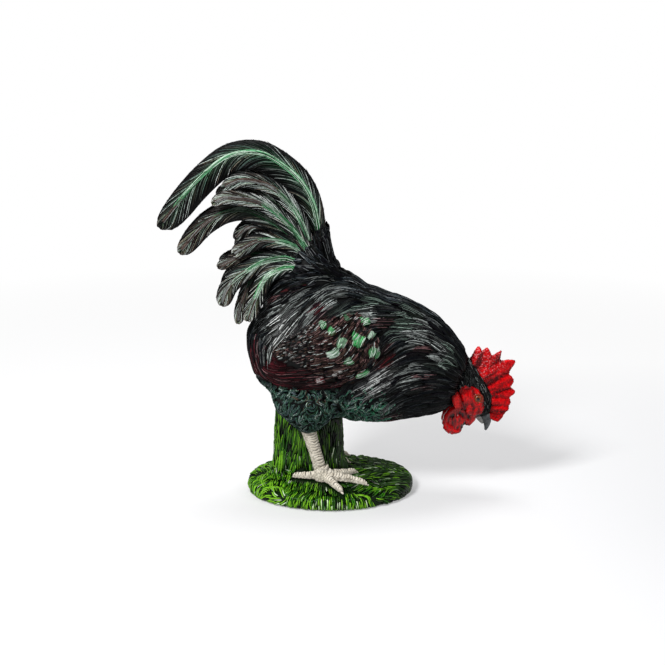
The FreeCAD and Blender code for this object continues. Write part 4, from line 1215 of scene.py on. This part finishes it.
# Eyes: a ball with a dark pupil in an amber ring, inside a rounded rim
iris = Finish("glossy_eye_enamel", roughness=0.12, coat_weight=0.3, coat_roughness=0.03,
              specular_ior_level=0.2)
ring = iris.add("UVMap", uv_map="dial")
from_middle = iris.add("VectorMath", {0: ring}, out=1, operation="LENGTH")
fibres = iris.noise(iris.add("VectorMath", {0: ring}, operation="NORMALIZE"), 9.0)
amber = iris.mix(fibres, shade("#4c1e0a"), shade("#8f4a20"))
dark_rim = iris.mix(iris.fade(from_middle, 0.78, 0.98), amber, shade("#3a1006"))
iris.set(iris.shader, "Base Color", iris.mix(iris.fade(from_middle, 0.4, 0.47), shade("#050404"), dark_rim))
EYE_RADIUS = 4.2 * MM
EYE_BULGE = 2.6 * MM
RIM_RADIUS = 4.7 * MM
RIM_THICKNESS = 1.2 * MM
RIM_DEPTH = 1.9 * MM
for side, sign in SIDES.items():
    low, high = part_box(f"{side}_eye")
    centre = (low + high) / 2
    front = low.y if sign < 0 else high.y
    ball = bmesh.new()
    bmesh.ops.create_uvsphere(ball, u_segments=40, v_segments=24, radius=1)
    dial = ball.loops.layers.uv.new("dial")
    for face in ball.faces:
        for loop in face.loops:
            loop[dial].uv = (loop.vert.co.x, loop.vert.co.z)
    bmesh.ops.scale(ball, verts=ball.verts, vec=(EYE_RADIUS, EYE_BULGE, EYE_RADIUS))
    bmesh.ops.translate(ball, verts=ball.verts, vec=(centre.x, front - sign * EYE_BULGE, centre.z))
    piece(f"{side}_eye_ball", meshed(ball), iris.material, "eye_enamel", f"{side}_eye")
    lid = bmesh.new()
    bmesh.ops.create_circle(lid, segments=12, radius=RIM_THICKNESS)
    bmesh.ops.translate(lid, verts=lid.verts, vec=(RIM_RADIUS, 0, 0))
    bmesh.ops.spin(lid, geom=lid.verts[:] + lid.edges[:], cent=(0, 0, 0), axis=(0, 1, 0), angle=math.tau,
                   steps=40, use_merge=True)
    bmesh.ops.translate(lid, verts=lid.verts, vec=(centre.x, front - sign * RIM_DEPTH, centre.z))
    bmesh.ops.recalc_face_normals(lid, faces=lid.faces)
    eye_lid = carve(meshed(lid), pebbled(size=1.6, height=0.15))
    piece(f"{side}_eye_lid", eye_lid, carved_paints["eye_lid"], "red_flesh", f"{side}_eye")


# Legs: scutes across the front of the shank and the tops of the toes
def scutes(distance, facing, gap, wave, cell, least, depth):
    """Scutes a gap apart by their distance, where the leg faces one way, and small cells elsewhere."""
    def depth_at(place, normal):
        along = distance(place) / (gap * MM) + noise.noise(place / (5 * MM)) * wave
        part = along - math.floor(along)
        band = min(1, min(part, 1 - part) * 3.4)
        front = max(0, min(1, facing(normal)))
        height = front * band + (1 - front) * (least + (1 - least) * pebble(place, cell, 3))
        return (height - 0.7) * depth, height
    return depth_at


SHANK_LEAN = 3 * MM
for side in SIDES:
    low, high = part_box(f"{side}_shank")
    middle = (low + high) / 2
    foot = Vector((middle.x + SHANK_LEAN, middle.y, low.z))
    hock = Vector((middle.x - SHANK_LEAN, middle.y, high.z))
    axis = (hock - foot).normalized()
    up_the_shank = scutes(lambda place: (place - foot).dot(axis), lambda normal: normal.x * 2.5 + 0.7,
                          gap=3.1, wave=0.5, cell=2.4, least=0.35, depth=0.7)
    out_from_ankle = scutes(lambda place: math.hypot(place.x - foot.x, place.y - foot.y),
                            lambda normal: normal.z * 2.5 - 0.6,
                            gap=2.9, wave=0.6, cell=2.3, least=0.3, depth=0.6)
    for name, shape in (("shank", up_the_shank), ("foot", out_from_ankle)):
        node = f"{side}_{name}"
        piece(f"{node}_scales", carve(smooth_form([node], voxel=0.7, rounds=4), shape), carved_paints["leg"],
              "leg_scales", node)

# Grass
ground_form = smooth_form(["grass_base"], voxel=1.6, rounds=3, swell=-0.5)
clump_form = smooth_form(["grass_clump"], voxel=1.6, rounds=3, swell=-0.5)
lawn = Surface(smooth_form(["grass_base", "grass_clump"], voxel=2.0, rounds=6))
GRASS_ARROWS = [
    (285, 425, 0, -1), (300, 440, 0.05, -1), (287, 455, -0.05, -1), (335, 440, 0.0, -1), (330, 455, 0, -1),
    (268, 475, -0.5, 0.85), (258, 485, -0.5, 0.85), (280, 480, -0.3, 0.95), (255, 495, -0.35, 0.95),
    (300, 487, -0.25, 1), (330, 500, 0, 1), (300, 500, -0.15, 1), (360, 503, 0.15, 1), (385, 500, 0.4, 0.9),
    (345, 498, 0.1, 1), (400, 487, 0.8, 0.4), (395, 477, 1, 0.1), (380, 468, 0.95, -0.1),
    (365, 459, 0.8, -0.1), (375, 485, 0.7, 0.4), (275, 500, -0.4, 0.9),
]
grass_flow = Flow(lawn, GRASS_ARROWS)
BRIGHT_GRASS = shade("#7ab824")
MID_GRASS = shade("#32740f")
# The pale colour of painted highlights on the grass.
PAINTED_GRASS_HIGHLIGHT = shade("#dff0d0")
DARK_GRASS = shade("#051c04")
BLUE_GRASS = shade("#0b2f1c")
DULL_GRASS = shade("#7f9f6a")
CLUMP_ABOVE = 26 * MM


def grass_tones(root, rng):
    """Colours of a tuft, with painted light: lighter yellow green on the left and along the front rim,
    painted shade to the right, pale painted highlights along the rim's top edge.
    """
    on_clump = root.z > CLUMP_ABOVE
    # Painted light and shade: the clump is lighter on its left, the mound on its left and along its front
    # rim, and darker to the right.
    if on_clump:
        painted_light = min(0.7, max(0.2, ramp(root.x, -2 * MM, -40 * MM)))
    else:
        front = (root.y < 0) * ramp(root.x, 75 * MM, -40 * MM)
        rim = max(0, 1 - abs(root.z - 8 * MM) / (12 * MM)) * front
        painted_light = max(min(1, max(0.18, 0.6 - root.x / (80 * MM))), rim * 3.0)
    # Painted highlights along the top edge of the mound's front rim, where it curves over.
    painted_rim_highlight = bell(root.z, 11 * MM, 3 * MM) * (root.y < -20 * MM) * (-60 * MM < root.x < 40 * MM)

    def tones(side):
        low = (np.array(DARK_GRASS) * (0.4 + painted_light) * 0.8 + np.array(BLUE_GRASS) * 0.3) * rng.uniform(0.05, 1)
        tip = np.array(MID_GRASS) * painted_light * rng.uniform(0.1, 1.2) + low * 0.5
        bright = rng.random() < 0.16 + 0.3 * painted_light
        colour = BRIGHT_GRASS if rng.random() < 0.3 + painted_light else DULL_GRASS
        power = rng.uniform(0.5, 1.1) * max(painted_light, 0.55) if bright else rng.uniform(0, 0.15)
        if rng.random() < (0.3 if on_clump else 0.06):
            low, tip, power = low * 0.3, tip * 0.12, 0
        ends = [(*colour, power * 0.5), (*colour, power)]
        # Now and then a pale painted highlight at a blade's tip.
        if rng.random() < 0.04:
            ends = [(*PAINTED_GRASS_HIGHLIGHT, 0), (*PAINTED_GRASS_HIGHLIGHT, rng.uniform(0.2, 0.9))]
        if rng.random() < painted_rim_highlight * 0.5:
            ends = [(*PAINTED_GRASS_HIGHLIGHT, rng.uniform(0.6, 1.2)), (*BRIGHT_GRASS, power)]
        return [(*low, rng.random()), (*tip, rng.random())], ends

    return tones


rng = np.random.default_rng(61)
foot_surfaces = [Surface(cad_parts[f"{side}_foot"].data) for side in SIDES]
FOOT_CLEARANCE = 1.5 * MM
STEEP = 0.95
CLUMP_MIDDLE = -22 * MM
CLUMP_REACH = 60 * MM
CLUMP_SIDE = 50 * MM
CLUMP_FOOT = 12 * MM
SKIRT_BELOW = 34 * MM
MOUND_ABOVE = 2 * MM
BLADE_GAP = 3.7 * MM
SKIRT_GAP = 2.6 * MM
CLUMP_BLADES = Lock(26, 5.2, 2, 3.8, lift=(-0.8, 1.6), close=0.3, crown=0.4, curl=0.3)
SKIRT_BLADES = Lock(16, 4.2, 2, 3.0, lift=(-0.4, 1.6), close=0.3, crown=0.4, curl=0.4)
MOUND_BLADES = Lock(17, 4.4, 2, 2.9, lift=(-0.8, 1.5), close=0.3, crown=0.4, curl=0.15)


def upright(point):
    """Whether the grass here stands up along the clump."""
    return (lawn.nearest(point)[1].z < STEEP and point.z > CLUMP_FOOT
            and abs(point.x - CLUMP_MIDDLE) < CLUMP_REACH and abs(point.y) < CLUMP_SIDE)


def up_the_clump(place):
    """Blades of the clump stand up, a little askew."""
    return Vector((0.25 * math.sin(place.x / (9 * MM)), 0, 1))


def grass_roots(gap, wanted):
    """Roots a gap apart where they are wanted, but none at the feet."""
    return [root for root in lawn.spread(gap, wanted, rng)
            if all((foot.nearest(root)[0] - root).length > FOOT_CLEARANCE for foot in foot_surfaces)]


all_roots = grass_roots(BLADE_GAP, lambda point: point.z > MOUND_ABOVE)
column_roots = [root for root in all_roots if upright(root)]
mound_roots = [root for root in all_roots if not upright(root)]
skirt_roots = grass_roots(SKIRT_GAP, lambda point: upright(point) and point.z < SKIRT_BELOW)
clump = locks(lawn, up_the_clump, column_roots, rng, CLUMP_BLADES, grass_tones)
clump += locks(lawn, grass_flow.at, skirt_roots, rng, SKIRT_BLADES, grass_tones)
dressed("clump_blades", "grass_clump", "grass_paint", clump, grass_paint)
mound = locks(lawn, grass_flow.at, mound_roots, rng, MOUND_BLADES, grass_tones)
dressed("mound_blades", "grass_base", "grass_paint", mound, grass_paint)
piece("mound_soil", ground_form, soil_paint, "grass_paint", "grass_base")
piece("clump_core", clump_form, soil_paint, "grass_paint", "grass_clump")

# Floor, lamps and world
slab = bmesh.new()
bmesh.ops.create_grid(slab, x_segments=1, y_segments=1, size=40)
floor = bpy.data.objects.new("floor", meshed(slab))
scene.collection.objects.link(floor)
ground = Finish("pale_floor", roughness=0.6)
rays = ground.add("LightPath").node.outputs
lit_floor = ground.mix(rays["Is Diffuse Ray"], shade("#e9e9ea"), shade("#8c8c8e"))
ground.set(ground.shader, "Base Color", lit_floor)
seen = ground.calc("MAXIMUM", rays["Is Camera Ray"], rays["Is Transmission Ray"])
distance = ground.add("VectorMath", {0: ground.place()}, out=1, operation="LENGTH")
# Painted shadow: the white that the camera sees on the floor turns pale grey near a spot to the right of the
# ornament.
from_painted_shade = ground.add("VectorMath", {0: ground.place(), 1: [0.4, -0.1, 0.0]}, out=1, operation="DISTANCE")
tint = ground.mix(ground.fade(from_painted_shade, 0.6, 0.05), [1.0, 1.0, 1.0], shade("#dcdde0"))
white = ground.add("Emission", {"Color": tint, "Strength": 1.0})
share = ground.calc("MULTIPLY", ground.fade(distance, 0.25, 1.2, 0.35, 1.0), seen)
blend = ground.add("MixShader", {0: share, 1: ground.shader.outputs[0], 2: white})
ground.tree.links.new(blend, ground.tree.nodes["Material Output"].inputs[0])
floor.data.materials.append(ground.material)

world = bpy.data.worlds.new("studio")
scene.world = world
world.use_nodes = True
sky = world.node_tree.nodes["Background"]
sky.inputs[0].default_value = (1, 1, 1, 1)
ray = world.node_tree.nodes.new("ShaderNodeLightPath")
strength = world.node_tree.nodes.new("ShaderNodeMapRange")
strength.inputs[3].default_value = 0.25
world.node_tree.links.new(ray.outputs["Is Camera Ray"], strength.inputs[0])
world.node_tree.links.new(strength.outputs[0], sky.inputs[1])

for name, place, size, power in (("key", (-1.1, -1.3, 1.7), 0.6, 60), ("fill", (1.6, -1.1, 1.0), 1.0, 9),
                                 ("top", (0.1, 0.5, 1.9), 0.8, 18)):
    lamp = bpy.data.lights.new(name, "AREA")
    lamp.size = size
    lamp.energy = power
    aim(bpy.data.objects.new(name, lamp), place, (0, 0, 0.18))

scene.view_settings.view_transform = "Standard"
